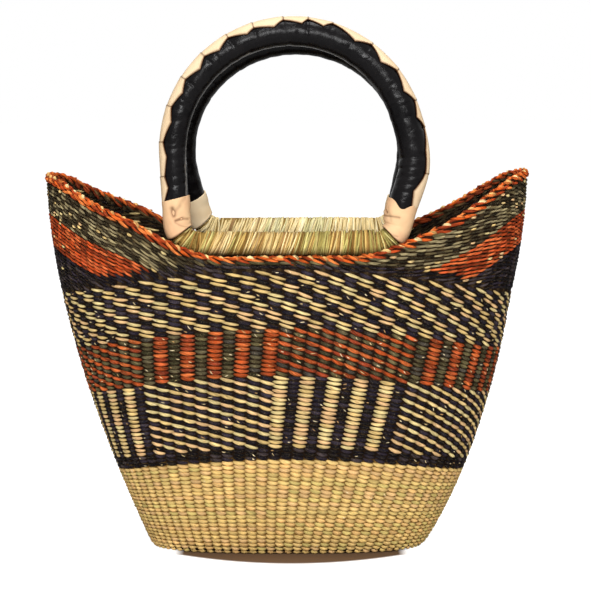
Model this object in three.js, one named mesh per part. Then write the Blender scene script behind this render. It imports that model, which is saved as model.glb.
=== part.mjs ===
// Two-handled winged bolga basket: a shell of twined grass in coloured bands,
// a braided rim, and two ring handles whose straight bars turn in straw lashings on the rim.
// Millimetres, +Z up, +X to the right of someone who faces the front (-Y) side.
// The origin is on the ground under the middle of the basket.
import * as THREE from 'three';

// Wall of the basket
const WALL_THICKNESS = 7;
const GAP = 0.3;
const FLOOR_THICKNESS = 7;
const FLOOR_EDGE_ROUND = 5;
const BASE_HALF_WIDTH = 131;
const BASE_HALF_DEPTH = 58;
const WING_HALF_WIDTH = 231;
const RIM_HALF_DEPTH = 92;
const WING_HEIGHT = 359;
const RIM_MIDDLE_HEIGHT = 288;
const WIDTH_FLARE_POWER = 1.65;
const DEPTH_FLARE_POWER = 3;
const SECTION_POWER = 2.8;
const TIP_SECTION_POWER = 2.1;

// The basket was woven a little fuller on its right side, most of all low down
const RIGHT_FULLNESS = 7.6;
const RIGHT_FULLNESS_TOP_SHARE = 0.67;
const RIGHT_FULLNESS_POWER = 0.63;

// The bars draw the rim in at the middle of the front and back
const RIM_PINCH = 11;
const PINCH_REACH_SHARE = 0.45;
const PINCH_RISE_POWER = 4;

// The rim stays low to the first share of the half width and then sweeps up to the tips.
// Past the dip's start it hangs below that sweep, and it kicks up again at the tip.
const RIM_LOW_SHARE = 0.25;
const RIM_SWEEP_END_SHARE = 1.1;
const RIM_DIP = 7;
const RIM_DIP_POWER = 1.3;
const LEFT_DIP_START_SHARE = 0.62;
const RIGHT_DIP_START_SHARE = 0.42;
const RIGHT_TIP_LIFT = 4;
const RIGHT_TIP_LIFT_POWER = 6;

// Top edges of the woven bands, as shares of the wing's height at the two ends
// and of the rim's height at the middle of the front and back
const NATURAL_END_SHARE = 0.2145;
const NATURAL_MIDDLE_SHARE = 0.33;
const LOWER_NAVY_END_SHARE = 0.245;
const LOWER_NAVY_MIDDLE_SHARE = 0.37;
const BLOCK_END_SHARE = 0.4235;
const BLOCK_MIDDLE_SHARE = 0.611;
const RUST_OLIVE_END_SHARE = 0.543;
const RUST_OLIVE_MIDDLE_SHARE = 0.767;
const CHECK_END_SHARE = 0.6895;
const CHECK_MIDDLE_SHARE = 0.955;

// Rows of the wings, measured down from the top of the rim
const BRAID_DIAMETER = 7.6;
const UPPER_ROWS_DROP = 15.2;
const WING_OLIVE_DROP = 36.5;
const WING_RUST_DROP = 70;
const SHORTEST_ROW_STACK = 3;

// Ring of each handle, in its own plane with the bar's axis at the bottom.
// Its arch bulges past the feet. The front ring's right leg bows outwards, and its grip is
// thicker, most of all there, and grows towards the inside of the ring.
const BAR_SET_IN = 10;
const RING_CORNER_RADIUS = 22;
const FRONT_FOOT_WIDTH_SHARE = 0.45;
const FRONT_FOOT_SHIFT = 1;
const FRONT_ARCH_BULGE = 8;
const FRONT_ARCH_SHIFT = 5.6;
const FRONT_ARCH_CENTRE_HEIGHT = 87.5;
const FRONT_LEG_BOW = 4.2;
const FRONT_GRIP_FULLNESS = 2.3;
const FRONT_CUFF_TOP_HEIGHT = 45;
const FRONT_LEAN_DEGREES = 4;
const BACK_FOOT_WIDTH_SHARE = 0.426;
const BACK_FOOT_SHIFT = 10.2;
const BACK_ARCH_BULGE = 10.9;
const BACK_ARCH_SHIFT = 9;
const BACK_ARCH_CENTRE_HEIGHT = 80.4;
const BACK_CUFF_TOP_HEIGHT = 35;
const BACK_LEAN_DEGREES = 14;
const LEG_BOW_LENGTH = 105;
const GRIP_FULLNESS_POWER = 0.4;

// Layers on the ring
const CORE_RADIUS = 9.3;
const LASHING_RADIUS = 12;
const TURNING_CLEARANCE = 0.6;
const LEATHER_RADIUS = 11.5;
const CUFF_THICKNESS = 1.4;
const WHIPPING_END_DEGREES = 56;
const CUFF_START_DEGREES = 62;
const LACE_LIFT = 0.8;
const LACE_THICKNESS = 1.6;
const LACE_TOOTH_PITCH = 27;
const LACE_WIDE_DEGREES = 66;
const LACE_NARROW_DEGREES = 40;
const LACE_FACETS = 4;

// Fineness of the surfaces
const WALL_STEPS = 64;
const RING_SIDES = 8;
const BRAID_SIDES = 6;
const LASHING_SIDES = 12;
const CORNER_STEPS = 7;
const LEG_STEPS = 4;
const ARCH_STEPS = 24;
const SHORTEST_STEP = 0.5;
const OUTLINE_SAMPLES = 240;
const NATURAL_BAND_LEVELS = 3;
const BLOCK_BAND_LEVELS = 2;
const FLOOR_EDGE_STEPS = 3;

// The feet of the rings keep to their share of the basket's width
const FRONT_RING = {
  footHalfWidth: FRONT_FOOT_WIDTH_SHARE * WING_HALF_WIDTH,
  footShift: FRONT_FOOT_SHIFT,
  archBulge: FRONT_ARCH_BULGE,
  archShift: FRONT_ARCH_SHIFT,
  archCentreHeight: FRONT_ARCH_CENTRE_HEIGHT,
  legBow: FRONT_LEG_BOW,
  gripFullness: FRONT_GRIP_FULLNESS,
  cuffTopHeight: FRONT_CUFF_TOP_HEIGHT,
};
const BACK_RING = {
  footHalfWidth: BACK_FOOT_WIDTH_SHARE * WING_HALF_WIDTH,
  footShift: BACK_FOOT_SHIFT,
  archBulge: BACK_ARCH_BULGE,
  archShift: BACK_ARCH_SHIFT,
  archCentreHeight: BACK_ARCH_CENTRE_HEIGHT,
  legBow: 0,
  gripFullness: 0,
  cuffTopHeight: BACK_CUFF_TOP_HEIGHT,
};

// The bar stands in from the drawn-in wall, and its lashing rests on the braid of the rim there
const BAR_OFFSET = RIM_HALF_DEPTH - RIM_PINCH - BAR_SET_IN;
const BRAID_RADIUS = (BRAID_DIAMETER - GAP) / 2;
const BRAID_MIDDLE_OFFSET = RIM_HALF_DEPTH - RIM_PINCH - WALL_THICKNESS / 2;
const BAR_AXIS_HEIGHT =
  RIM_MIDDLE_HEIGHT -
  BRAID_RADIUS +
  Math.sqrt((LASHING_RADIUS + BRAID_RADIUS + GAP) ** 2 - (BRAID_MIDDLE_OFFSET - BAR_OFFSET) ** 2);

const FULL_TURN = 2 * Math.PI;
const QUARTER_TURN = Math.PI / 2;
const RIGHT_TIP_SHARE = 0.25;
const LEFT_TIP_SHARE = 0.75;

const NATURAL_STRAW = { color: 0xd9c08a, roughness: 0.8, metalness: 0 };
const NAVY_STRAW = { color: 0x1d1c2e, roughness: 0.75, metalness: 0 };
const TWO_TONE_STRAW = { color: 0x7a6a50, roughness: 0.78, metalness: 0 };
const RUST_STRAW = { color: 0xc2532a, roughness: 0.78, metalness: 0 };
const OLIVE_STRAW = { color: 0x5d5236, roughness: 0.78, metalness: 0 };
const GREEN_STRAW = { color: 0xc3b66a, roughness: 0.75, metalness: 0 };
const BLACK_LEATHER = { color: 0x17161b, roughness: 0.45, metalness: 0 };
const TAN_LEATHER = { color: 0xd8b48a, roughness: 0.7, metalness: 0 };
const GRASS_CORE = { color: 0xa88f5c, roughness: 0.9, metalness: 0 };

const basket = new THREE.Group();

function clampShare(share) {
  return Math.min(1, Math.max(0, share));
}

function addPiece(parent, name, geometry, finish) {
  const mesh = new THREE.Mesh(geometry, new THREE.MeshStandardMaterial(finish));
  mesh.name = name;
  parent.add(mesh);
  return mesh;
}

function signedVolume(positions, triangles) {
  let volume = 0;
  for (let i = 0; i < triangles.length; i += 3) {
    const [a, b, c] = [positions[triangles[i]], positions[triangles[i + 1]], positions[triangles[i + 2]]];
    volume += a.dot(new THREE.Vector3().crossVectors(b, c)) / 6;
  }
  return volume;
}

// A solid skinned over closed loops of equal count. The last loop joins the first
// when the solid is a ring; otherwise both ends are closed with a zigzag of strips.
// The lower edge of a wall is cut the same way as its upper edge, so that the bands match.
function skinLoops(loops, isRing, isWall = false) {
  const count = loops[0].length;
  const positions = loops.flat();
  const triangles = [];
  const addQuad = (a, b, c, d) => triangles.push(a, b, c, a, c, d);
  const spans = isRing ? loops.length : loops.length - 1;
  for (let i = 0; i < spans; i += 1) {
    const here = i * count;
    const next = ((i + 1) % loops.length) * count;
    for (let j = 0; j < count; j += 1) {
      const k = (j + 1) % count;
      if (isWall && k === 0) {
        addQuad(next + j, next + k, here + k, here + j);
      } else {
        addQuad(here + j, next + j, next + k, here + k);
      }
    }
  }
  if (!isRing) {
    const last = (loops.length - 1) * count;
    for (let j = 0; j < count / 2 - 1; j += 1) {
      const far = count - 1 - j;
      addQuad(j, j + 1, far - 1, far);
      addQuad(last + j, last + far, last + far - 1, last + j + 1);
    }
  }
  if (signedVolume(positions, triangles) < 0) {
    triangles.reverse();
  }
  const geometry = new THREE.BufferGeometry().setFromPoints(positions);
  geometry.setIndex(triangles);
  geometry.computeVertexNormals();
  return geometry;
}

// Shape of the wall

function halfWidthAt(height) {
  const remaining = Math.max(0, (WING_HEIGHT - height) / WING_HEIGHT);
  return WING_HALF_WIDTH - (WING_HALF_WIDTH - BASE_HALF_WIDTH) * remaining ** WIDTH_FLARE_POWER;
}

function halfDepthAt(height) {
  const remaining = Math.max(0, (RIM_MIDDLE_HEIGHT - height) / RIM_MIDDLE_HEIGHT);
  return RIM_HALF_DEPTH - (RIM_HALF_DEPTH - BASE_HALF_DEPTH) * remaining ** DEPTH_FLARE_POWER;
}

// The level section is blunt below and narrows to a boat's bow at the tips of the wings
function sectionPowerAt(height) {
  const wingShare = (height - RIM_MIDDLE_HEIGHT) / (WING_HEIGHT - RIM_MIDDLE_HEIGHT);
  return SECTION_POWER - (SECTION_POWER - TIP_SECTION_POWER) * smoothRise(wingShare);
}

function rightFullnessAt(height) {
  const share = clampShare(height / (RIGHT_FULLNESS_TOP_SHARE * WING_HEIGHT));
  return RIGHT_FULLNESS * Math.sin(Math.PI * share ** RIGHT_FULLNESS_POWER);
}

// A quarter of the level section at a height, from the middle of a long side to the end,
// as points with the distance travelled along the outline
const quarterOutlines = new Map();

function quarterOutline(height) {
  if (!quarterOutlines.has(height)) {
    const halfWidth = halfWidthAt(height);
    const halfDepth = halfDepthAt(height);
    const power = sectionPowerAt(height);
    const points = [];
    let travelled = 0;
    for (let i = 0; i <= OUTLINE_SAMPLES; i += 1) {
      const angle = (i / OUTLINE_SAMPLES) * QUARTER_TURN;
      const across = Math.sin(angle) / halfWidth;
      const deep = Math.cos(angle) / halfDepth;
      const reach = (across ** power + deep ** power) ** (-1 / power);
      const x = reach * Math.sin(angle);
      const y = reach * Math.cos(angle);
      if (i > 0) {
        travelled += Math.hypot(x - points[i - 1].x, y - points[i - 1].y);
      }
      points.push({ x, y, travelled });
    }
    quarterOutlines.set(height, { halfWidth, halfDepth, power, points, length: travelled });
  }
  return quarterOutlines.get(height);
}

// Place on the section at a share of the way round: 0 is the middle of the front,
// a quarter is the right tip, a half the middle of the back
function sectionPlace(height, turnShare) {
  const quarter = Math.floor(4 * turnShare) % 4;
  const along = 4 * turnShare - Math.floor(4 * turnShare);
  const fromMiddle = quarter % 2 === 0 ? along : 1 - along;
  const { halfWidth, halfDepth, power, points, length } = quarterOutline(height);
  const wanted = fromMiddle * length;
  let low = 0;
  let high = points.length - 1;
  while (high - low > 1) {
    const middle = (low + high) >> 1;
    if (points[middle].travelled <= wanted) {
      low = middle;
    } else {
      high = middle;
    }
  }
  const before = points[low];
  const after = points[high];
  const blend = (wanted - before.travelled) / (after.travelled - before.travelled);
  const x = before.x + (after.x - before.x) * blend;
  const y = before.y + (after.y - before.y) * blend;
  const slopeX = (x / halfWidth) ** (power - 1) / halfWidth;
  const slopeY = (y / halfDepth) ** (power - 1) / halfDepth;
  const slope = Math.hypot(slopeX, slopeY);
  const sideX = quarter < 2 ? 1 : -1;
  const sideY = quarter === 0 || quarter === 3 ? -1 : 1;
  return {
    x: sideX * x,
    y: sideY * y,
    outX: (sideX * slopeX) / slope,
    outY: (sideY * slopeY) / slope,
    sideX,
    sideY,
    widthShare: x / halfWidth,
  };
}

function smoothRise(share) {
  const held = clampShare(share);
  return held * held * (3 - 2 * held);
}

// Point of the wall, set in from its outer face
function wallPoint(turnShare, height, setIn) {
  const place = sectionPlace(height, turnShare);
  const pinchShare = 1 - smoothRise(place.widthShare / PINCH_REACH_SHARE);
  const riseShare = Math.min(1, height / RIM_MIDDLE_HEIGHT) ** PINCH_RISE_POWER;
  const pinch = RIM_PINCH * pinchShare * riseShare;
  const fullness = place.sideX > 0 ? rightFullnessAt(height) * place.widthShare ** 2 : 0;
  return new THREE.Vector3(
    place.x + fullness - setIn * place.outX,
    place.y - setIn * place.outY - place.sideY * pinch,
    height,
  );
}

function widthShareAt(turnShare) {
  return sectionPlace(RIM_MIDDLE_HEIGHT, turnShare).widthShare;
}

function rimTop(turnShare) {
  const { widthShare, sideX } = sectionPlace(RIM_MIDDLE_HEIGHT, turnShare);
  const sweep = RIM_SWEEP_END_SHARE - RIM_LOW_SHARE;
  const rise = smoothRise((widthShare - RIM_LOW_SHARE) / sweep);
  const fullRise = smoothRise((1 - RIM_LOW_SHARE) / sweep);
  const dipStart = sideX > 0 ? RIGHT_DIP_START_SHARE : LEFT_DIP_START_SHARE;
  const dipShare = clampShare((widthShare - dipStart) / (1 - dipStart));
  const dip = RIM_DIP * Math.sin(Math.PI * dipShare ** RIM_DIP_POWER);
  const lift = sideX > 0 ? RIGHT_TIP_LIFT * dipShare ** RIGHT_TIP_LIFT_POWER : 0;
  return RIM_MIDDLE_HEIGHT + ((WING_HEIGHT - RIM_MIDDLE_HEIGHT) * rise) / fullRise - dip + lift;
}

// A band edge arches from its height at the ends to its height at the middle
function bandEdge(endShare, middleShare) {
  const endHeight = endShare * WING_HEIGHT;
  const middleHeight = middleShare * RIM_MIDDLE_HEIGHT;
  return (turnShare) => {
    const widthShare = widthShareAt(turnShare);
    return endHeight + (middleHeight - endHeight) * (1 - widthShare * widthShare);
  };
}

function dropFromRim(drop) {
  return (turnShare) => rimTop(turnShare) - drop;
}

// Woven walls

function wallLoop(turnShare, lower, upper, levels) {
  const outer = [];
  const inner = [];
  for (let i = 0; i <= levels; i += 1) {
    const height = lower + ((upper - lower) * i) / levels;
    outer.push(wallPoint(turnShare, height, 0));
    inner.unshift(wallPoint(turnShare, height, WALL_THICKNESS));
  }
  return [...outer, ...inner];
}

function ringBand(lowerEdge, upperEdge, levels = 1) {
  const loops = [];
  for (let i = 0; i < WALL_STEPS; i += 1) {
    const turnShare = i / WALL_STEPS;
    loops.push(wallLoop(turnShare, lowerEdge(turnShare) + GAP, upperEdge(turnShare), levels));
  }
  return skinLoops(loops, true, true);
}

// Rows that run round one tip and stop where the wing gets too low for them
function wingStripe(tipShare, lowerEdge, upperEdge) {
  const loops = [];
  for (let i = -WALL_STEPS / 4 + 1; i < WALL_STEPS / 4; i += 1) {
    const turnShare = tipShare + i / WALL_STEPS;
    const lower = lowerEdge(turnShare) + GAP;
    const upper = upperEdge(turnShare);
    if (upper - lower >= SHORTEST_ROW_STACK) {
      loops.push(wallLoop(turnShare, lower, upper, 1));
    }
  }
  return skinLoops(loops, false, true);
}

const naturalTop = bandEdge(NATURAL_END_SHARE, NATURAL_MIDDLE_SHARE);
const lowerNavyTop = bandEdge(LOWER_NAVY_END_SHARE, LOWER_NAVY_MIDDLE_SHARE);
const blockTop = bandEdge(BLOCK_END_SHARE, BLOCK_MIDDLE_SHARE);
const rustOliveTop = bandEdge(RUST_OLIVE_END_SHARE, RUST_OLIVE_MIDDLE_SHARE);
const checkTop = bandEdge(CHECK_END_SHARE, CHECK_MIDDLE_SHARE);
const braidUnderside = dropFromRim(BRAID_DIAMETER);

// The lower edge of a stripe of the wing rests on the next stripe, or on the check band
// past the place where that next stripe stops
function stripeLower(drop) {
  return (turnShare) => {
    const edge = rimTop(turnShare) - drop;
    const nextIsThere = edge - checkTop(turnShare) - GAP >= SHORTEST_ROW_STACK;
    return nextIsThere ? edge : checkTop(turnShare);
  };
}

function addFloor() {
  const loops = [];
  const addLevel = (height, setIn) => {
    const loop = [];
    for (let i = 0; i < WALL_STEPS; i += 1) {
      const place = sectionPlace(height, i / WALL_STEPS);
      loop.push(new THREE.Vector3(place.x - setIn * place.outX, place.y - setIn * place.outY, height));
    }
    loops.push(loop);
  };
  for (let i = 0; i <= FLOOR_EDGE_STEPS; i += 1) {
    const angle = (i / FLOOR_EDGE_STEPS) * QUARTER_TURN;
    addLevel(FLOOR_EDGE_ROUND * (1 - Math.cos(angle)), FLOOR_EDGE_ROUND * (1 - Math.sin(angle)));
  }
  addLevel(FLOOR_THICKNESS, 0);
  addPiece(basket, 'base_weave', skinLoops(loops, false), NATURAL_STRAW);
}

function addBands() {
  const floorTop = () => FLOOR_THICKNESS;
  addPiece(basket, 'natural_band', ringBand(floorTop, naturalTop, NATURAL_BAND_LEVELS), NATURAL_STRAW);
  addPiece(basket, 'lower_navy_band', ringBand(naturalTop, lowerNavyTop), NAVY_STRAW);
  addPiece(basket, 'block_band', ringBand(lowerNavyTop, blockTop, BLOCK_BAND_LEVELS), TWO_TONE_STRAW);
  addPiece(basket, 'rust_olive_band', ringBand(blockTop, rustOliveTop), RUST_STRAW);
  addPiece(basket, 'check_band', ringBand(rustOliveTop, checkTop), TWO_TONE_STRAW);
  addPiece(basket, 'upper_rows', ringBand(stripeLower(UPPER_ROWS_DROP), braidUnderside), OLIVE_STRAW);
}

function addWings() {
  const wings = [
    { side: 'right', tipShare: RIGHT_TIP_SHARE },
    { side: 'left', tipShare: LEFT_TIP_SHARE },
  ];
  for (const { side, tipShare } of wings) {
    const olive = wingStripe(tipShare, stripeLower(WING_OLIVE_DROP), dropFromRim(UPPER_ROWS_DROP));
    const rust = wingStripe(tipShare, stripeLower(WING_RUST_DROP), dropFromRim(WING_OLIVE_DROP));
    const navy = wingStripe(tipShare, checkTop, dropFromRim(WING_RUST_DROP));
    addPiece(basket, `${side}_wing_olive`, olive, OLIVE_STRAW);
    addPiece(basket, `${side}_wing_rust`, rust, RUST_STRAW);
    addPiece(basket, `${side}_wing_navy`, navy, NAVY_STRAW);
  }
}

function addRimBraid() {
  const loops = [];
  for (let i = 0; i < WALL_STEPS; i += 1) {
    const turnShare = i / WALL_STEPS;
    const height = rimTop(turnShare) - BRAID_RADIUS;
    const centre = wallPoint(turnShare, height, WALL_THICKNESS / 2);
    const { outX, outY } = sectionPlace(height, turnShare);
    const loop = [];
    for (let j = 0; j < BRAID_SIDES; j += 1) {
      const angle = (j / BRAID_SIDES) * FULL_TURN + QUARTER_TURN;
      const out = BRAID_RADIUS * Math.cos(angle);
      const up = BRAID_RADIUS * Math.sin(angle);
      loop.push(new THREE.Vector3(centre.x + out * outX, centre.y + out * outY, centre.z + up));
    }
    loops.push(loop);
  }
  addPiece(basket, 'rim_braid', skinLoops(loops, true), RUST_STRAW);
}

// Centre line of a handle's ring, in its plane: u across, v up from the bar's axis.
// Straight bar, round corners, legs that touch both circles, and a round arch.
function ringPath(ring) {
  const cornerRadius = RING_CORNER_RADIUS;
  const archRadius = ring.footHalfWidth + ring.archBulge;
  const footReach = ring.footHalfWidth - cornerRadius;
  const rightCorner = new THREE.Vector2(ring.footShift + footReach, cornerRadius);
  const leftCorner = new THREE.Vector2(ring.footShift - footReach, cornerRadius);
  const arch = new THREE.Vector2(ring.archShift, ring.archCentreHeight);
  const legFacing = (corner, side) => {
    const toArch = arch.clone().sub(corner);
    const tangentTurn = Math.acos((cornerRadius - archRadius) / toArch.length());
    return Math.atan2(toArch.y, toArch.x) + side * tangentTurn;
  };
  const rightFacing = legFacing(rightCorner, -1);
  const leftFacing = legFacing(leftCorner, 1);
  const onCircle = (centre, radius, facing) =>
    new THREE.Vector2(centre.x + radius * Math.cos(facing), centre.y + radius * Math.sin(facing));
  const line = (from, to, facing, steps) => {
    const length = from.distanceTo(to);
    const place = (distance) => ({ point: from.clone().lerp(to, distance / length), facing });
    return { length, steps, place };
  };
  const arc = (centre, radius, from, to, steps) => ({
    length: radius * (to - from),
    steps,
    place: (distance) => {
      const facing = from + distance / radius;
      return { point: onCircle(centre, radius, facing), facing };
    },
  });
  const barRight = onCircle(rightCorner, cornerRadius, -QUARTER_TURN);
  const barLeft = onCircle(leftCorner, cornerRadius, -QUARTER_TURN);
  const pieces = {
    bar: line(barLeft, barRight, -QUARTER_TURN, 1),
    rightCorner: arc(rightCorner, cornerRadius, -QUARTER_TURN, rightFacing, CORNER_STEPS),
    rightLeg: line(
      onCircle(rightCorner, cornerRadius, rightFacing),
      onCircle(arch, archRadius, rightFacing),
      rightFacing,
      LEG_STEPS,
    ),
    arch: arc(arch, archRadius, rightFacing, leftFacing, ARCH_STEPS),
    leftLeg: line(
      onCircle(arch, archRadius, leftFacing),
      onCircle(leftCorner, cornerRadius, leftFacing),
      leftFacing,
      LEG_STEPS,
    ),
    leftCorner: arc(leftCorner, cornerRadius, leftFacing, 3 * QUARTER_TURN, CORNER_STEPS),
  };
  const order = Object.values(pieces);
  const stations = [];
  let length = 0;
  for (const piece of order) {
    for (let i = 0; i < piece.steps; i += 1) {
      stations.push(length + (piece.length * i) / piece.steps);
    }
    length += piece.length;
  }
  const unbowedPlace = (distance) => {
    let left = distance;
    for (const piece of order) {
      if (left <= piece.length) {
        return piece.place(left);
      }
      left -= piece.length;
    }
    return pieces.leftCorner.place(pieces.leftCorner.length);
  };
  const legStart = pieces.bar.length + pieces.rightCorner.length;
  const gripLength = length - pieces.leftCorner.length - legStart;
  const place = (distance) => {
    const found = unbowedPlace(distance);
    const bowShare = clampShare((distance - legStart) / LEG_BOW_LENGTH);
    const bow = ring.legBow * Math.sin(Math.PI * bowShare) ** 2;
    const gripShare = clampShare((distance - legStart) / gripLength);
    const fullness = ring.gripFullness * Math.sin(Math.PI * gripShare ** GRIP_FULLNESS_POWER);
    const point = onCircle(found.point, bow - fullness, found.facing);
    return { point, facing: found.facing, fullness };
  };
  return { pieces, length, stations, place };
}

// Point on a round section of the ring: turned from the outer ridge towards +Y
function ringPoint(place, radius, turn) {
  const fullRadius = radius + place.fullness;
  const reach = fullRadius * Math.cos(turn);
  return new THREE.Vector3(
    place.point.x + reach * Math.cos(place.facing),
    fullRadius * Math.sin(turn),
    place.point.y + reach * Math.sin(place.facing),
  );
}

// Hollow sleeve on a stretch of the ring, bent at the same stations as the core in it
function ringSleeve(path, start, end, innerRadius, outerRadius, sides) {
  const from = Math.min(start, end);
  const to = Math.max(start, end);
  const isBetween = (station) => station > from + SHORTEST_STEP && station < to - SHORTEST_STEP;
  const places = [from, ...path.stations.filter(isBetween), to].map(path.place);
  const loops = [];
  for (let i = 0; i < sides; i += 1) {
    const turn = (i / sides) * FULL_TURN;
    const outer = places.map((place) => ringPoint(place, outerRadius, turn));
    const inner = places.map((place) => ringPoint(place, innerRadius, turn)).reverse();
    loops.push([...outer, ...inner]);
  }
  return skinLoops(loops, true);
}

function ringCore(path) {
  const loops = path.stations.map((station) => {
    const place = path.place(station);
    const loop = [];
    for (let j = 0; j < RING_SIDES; j += 1) {
      loop.push(ringPoint(place, CORE_RADIUS, (j / RING_SIDES) * FULL_TURN));
    }
    return loop;
  });
  return skinLoops(loops, true);
}

// Saw-toothed lace that closes the leather along its outer ridge
function ridgeLace(path, from, to) {
  const teeth = Math.round((to - from) / LACE_TOOTH_PITCH);
  const halfFacet = THREE.MathUtils.degToRad(LACE_WIDE_DEGREES) / LACE_FACETS;
  const innerRadius = (LEATHER_RADIUS + LACE_LIFT) / Math.cos(halfFacet);
  const outerRadius = innerRadius + LACE_THICKNESS;
  const loops = [];
  for (let i = 0; i <= 2 * teeth; i += 1) {
    const place = path.place(from + ((to - from) * i) / (2 * teeth));
    const spread = THREE.MathUtils.degToRad(i % 2 === 0 ? LACE_WIDE_DEGREES : LACE_NARROW_DEGREES);
    const turns = [];
    for (let j = 0; j <= LACE_FACETS; j += 1) {
      turns.push(spread * ((2 * j) / LACE_FACETS - 1));
    }
    const outer = turns.map((turn) => ringPoint(place, outerRadius, turn));
    const inner = turns.map((turn) => ringPoint(place, innerRadius, turn)).reverse();
    loops.push([...outer, ...inner]);
  }
  return skinLoops(loops, false);
}

function addHandle(name, offset, lean, shape) {
  const path = ringPath(shape);
  const { pieces, length } = path;
  const ring = new THREE.Group();
  ring.position.set(0, offset, BAR_AXIS_HEIGHT);
  ring.rotation.x = THREE.MathUtils.degToRad(lean);
  basket.add(ring);

  const barEnd = pieces.bar.length;
  const whippingLength = RING_CORNER_RADIUS * THREE.MathUtils.degToRad(WHIPPING_END_DEGREES);
  const cuffStart = RING_CORNER_RADIUS * THREE.MathUtils.degToRad(CUFF_START_DEGREES);
  const cuffEnd = pieces.rightCorner.length + shape.cuffTopHeight - RING_CORNER_RADIUS;
  const cuffInner = LEATHER_RADIUS + GAP;
  const cuffOuter = cuffInner + CUFF_THICKNESS;

  addPiece(ring, `${name}_handle_core`, ringCore(path), GRASS_CORE);
  addPiece(
    ring,
    `${name}_grip_leather`,
    ringSleeve(
      path,
      barEnd + whippingLength + GAP,
      length - whippingLength - GAP,
      CORE_RADIUS + GAP,
      LEATHER_RADIUS,
      RING_SIDES,
    ),
    BLACK_LEATHER,
  );
  addPiece(
    ring,
    `${name}_ridge_lace`,
    ridgeLace(path, barEnd + cuffEnd + GAP, length - cuffEnd - GAP),
    TAN_LEATHER,
  );
  const ends = [
    { side: 'right', from: (distance) => barEnd + distance },
    { side: 'left', from: (distance) => length - distance },
  ];
  for (const { side, from } of ends) {
    addPiece(
      ring,
      `${name}_${side}_cuff`,
      ringSleeve(path, from(cuffStart), from(cuffEnd), cuffInner, cuffOuter, RING_SIDES),
      TAN_LEATHER,
    );
    addPiece(
      ring,
      `${name}_${side}_corner_whipping`,
      ringSleeve(
        path,
        from(GAP),
        from(whippingLength),
        CORE_RADIUS + GAP,
        LEATHER_RADIUS,
        RING_SIDES,
      ),
      GREEN_STRAW,
    );
  }

  // The lashing stays on the rim while the bar turns in it
  const seat = new THREE.Group();
  seat.position.set(0, offset, BAR_AXIS_HEIGHT);
  basket.add(seat);
  addPiece(
    seat,
    `${name}_bar_lashing`,
    ringSleeve(
      path,
      GAP,
      barEnd - GAP,
      (CORE_RADIUS + TURNING_CLEARANCE) / Math.cos(Math.PI / LASHING_SIDES),
      LASHING_RADIUS,
      LASHING_SIDES,
    ),
    GREEN_STRAW,
  );
}

addFloor();
addBands();
addWings();
addRimBraid();
addHandle('front', -BAR_OFFSET, -FRONT_LEAN_DEGREES, FRONT_RING);
addHandle('back', BAR_OFFSET, BACK_LEAN_DEGREES, BACK_RING);

export default basket;
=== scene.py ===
import math

import bpy
import numpy as np
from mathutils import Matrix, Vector


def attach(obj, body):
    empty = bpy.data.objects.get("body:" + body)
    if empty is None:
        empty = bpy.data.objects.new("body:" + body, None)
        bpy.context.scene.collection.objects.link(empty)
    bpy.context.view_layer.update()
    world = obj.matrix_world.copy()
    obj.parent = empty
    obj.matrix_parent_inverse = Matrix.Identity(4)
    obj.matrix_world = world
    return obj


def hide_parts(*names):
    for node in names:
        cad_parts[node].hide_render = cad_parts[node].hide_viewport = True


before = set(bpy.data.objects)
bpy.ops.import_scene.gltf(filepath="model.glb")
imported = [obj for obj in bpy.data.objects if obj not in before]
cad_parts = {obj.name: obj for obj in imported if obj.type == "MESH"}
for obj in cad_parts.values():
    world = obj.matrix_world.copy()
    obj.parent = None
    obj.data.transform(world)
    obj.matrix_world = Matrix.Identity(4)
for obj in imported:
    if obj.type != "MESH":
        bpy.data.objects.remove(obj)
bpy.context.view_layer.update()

MM = 0.001

# Shape of the basket's wall, in millimetres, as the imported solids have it
BASE_HALF_WIDTH = 131.0
BASE_HALF_DEPTH = 58.0
WING_HALF_WIDTH = 231.0
RIM_HALF_DEPTH = 92.0
WING_HEIGHT = 359.0
RIM_MIDDLE_HEIGHT = 288.0
WIDTH_FLARE_POWER = 1.65
DEPTH_FLARE_POWER = 3.0
SECTION_POWER = 2.8
TIP_SECTION_POWER = 2.1
RIGHT_FULLNESS = 7.6
RIGHT_FULLNESS_TOP = 240.5
RIGHT_FULLNESS_POWER = 0.63
RIM_PINCH = 11.0
PINCH_REACH_SHARE = 0.45
PINCH_RISE_POWER = 4.0
RIM_LOW_SHARE = 0.25
RIM_SWEEP_END_SHARE = 1.1
RIM_DIP = 7.0
RIM_DIP_POWER = 1.3
LEFT_DIP_START_SHARE = 0.62
RIGHT_DIP_START_SHARE = 0.42
RIGHT_TIP_LIFT = 4.0
RIGHT_TIP_LIFT_POWER = 6
FLOOR_THICKNESS = 7.0
BRAID_DIAMETER = 7.6
UPPER_ROWS_DROP = 15.2
WING_OLIVE_DROP = 36.5
WING_RUST_DROP = 70.0

# Stakes: they lean a little and stand closer together towards the two tips
STAKES = 88
EVEN_STAKES = 10
CROWDING = 0.0277
STAKE_LEAN = 0.0085
STAKE_LEAN_START = 106.0

# Rings of the handles
BAR_OFFSET = 71.0
BAR_AXIS_HEIGHT = 298.915
RING_CORNER_RADIUS = 22.0
LEG_BOW_LENGTH = 105.0
GRIP_FULLNESS_POWER = 0.4
FRONT_RING = {
    "foot": 103.95, "foot_shift": 1.0, "arch": 111.95, "arch_shift": 5.6, "arch_height": 87.5,
    "bow": 4.2, "fullness": 2.3, "cuff_top": 45.0,
}
BACK_RING = {
    "foot": 98.41, "foot_shift": 10.2, "arch": 109.31, "arch_shift": 9.0, "arch_height": 80.4,
    "bow": 0.0, "fullness": 0.0, "cuff_top": 35.0,
}
FRONT_LEAN = -4.0
BACK_LEAN = 14.0


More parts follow.
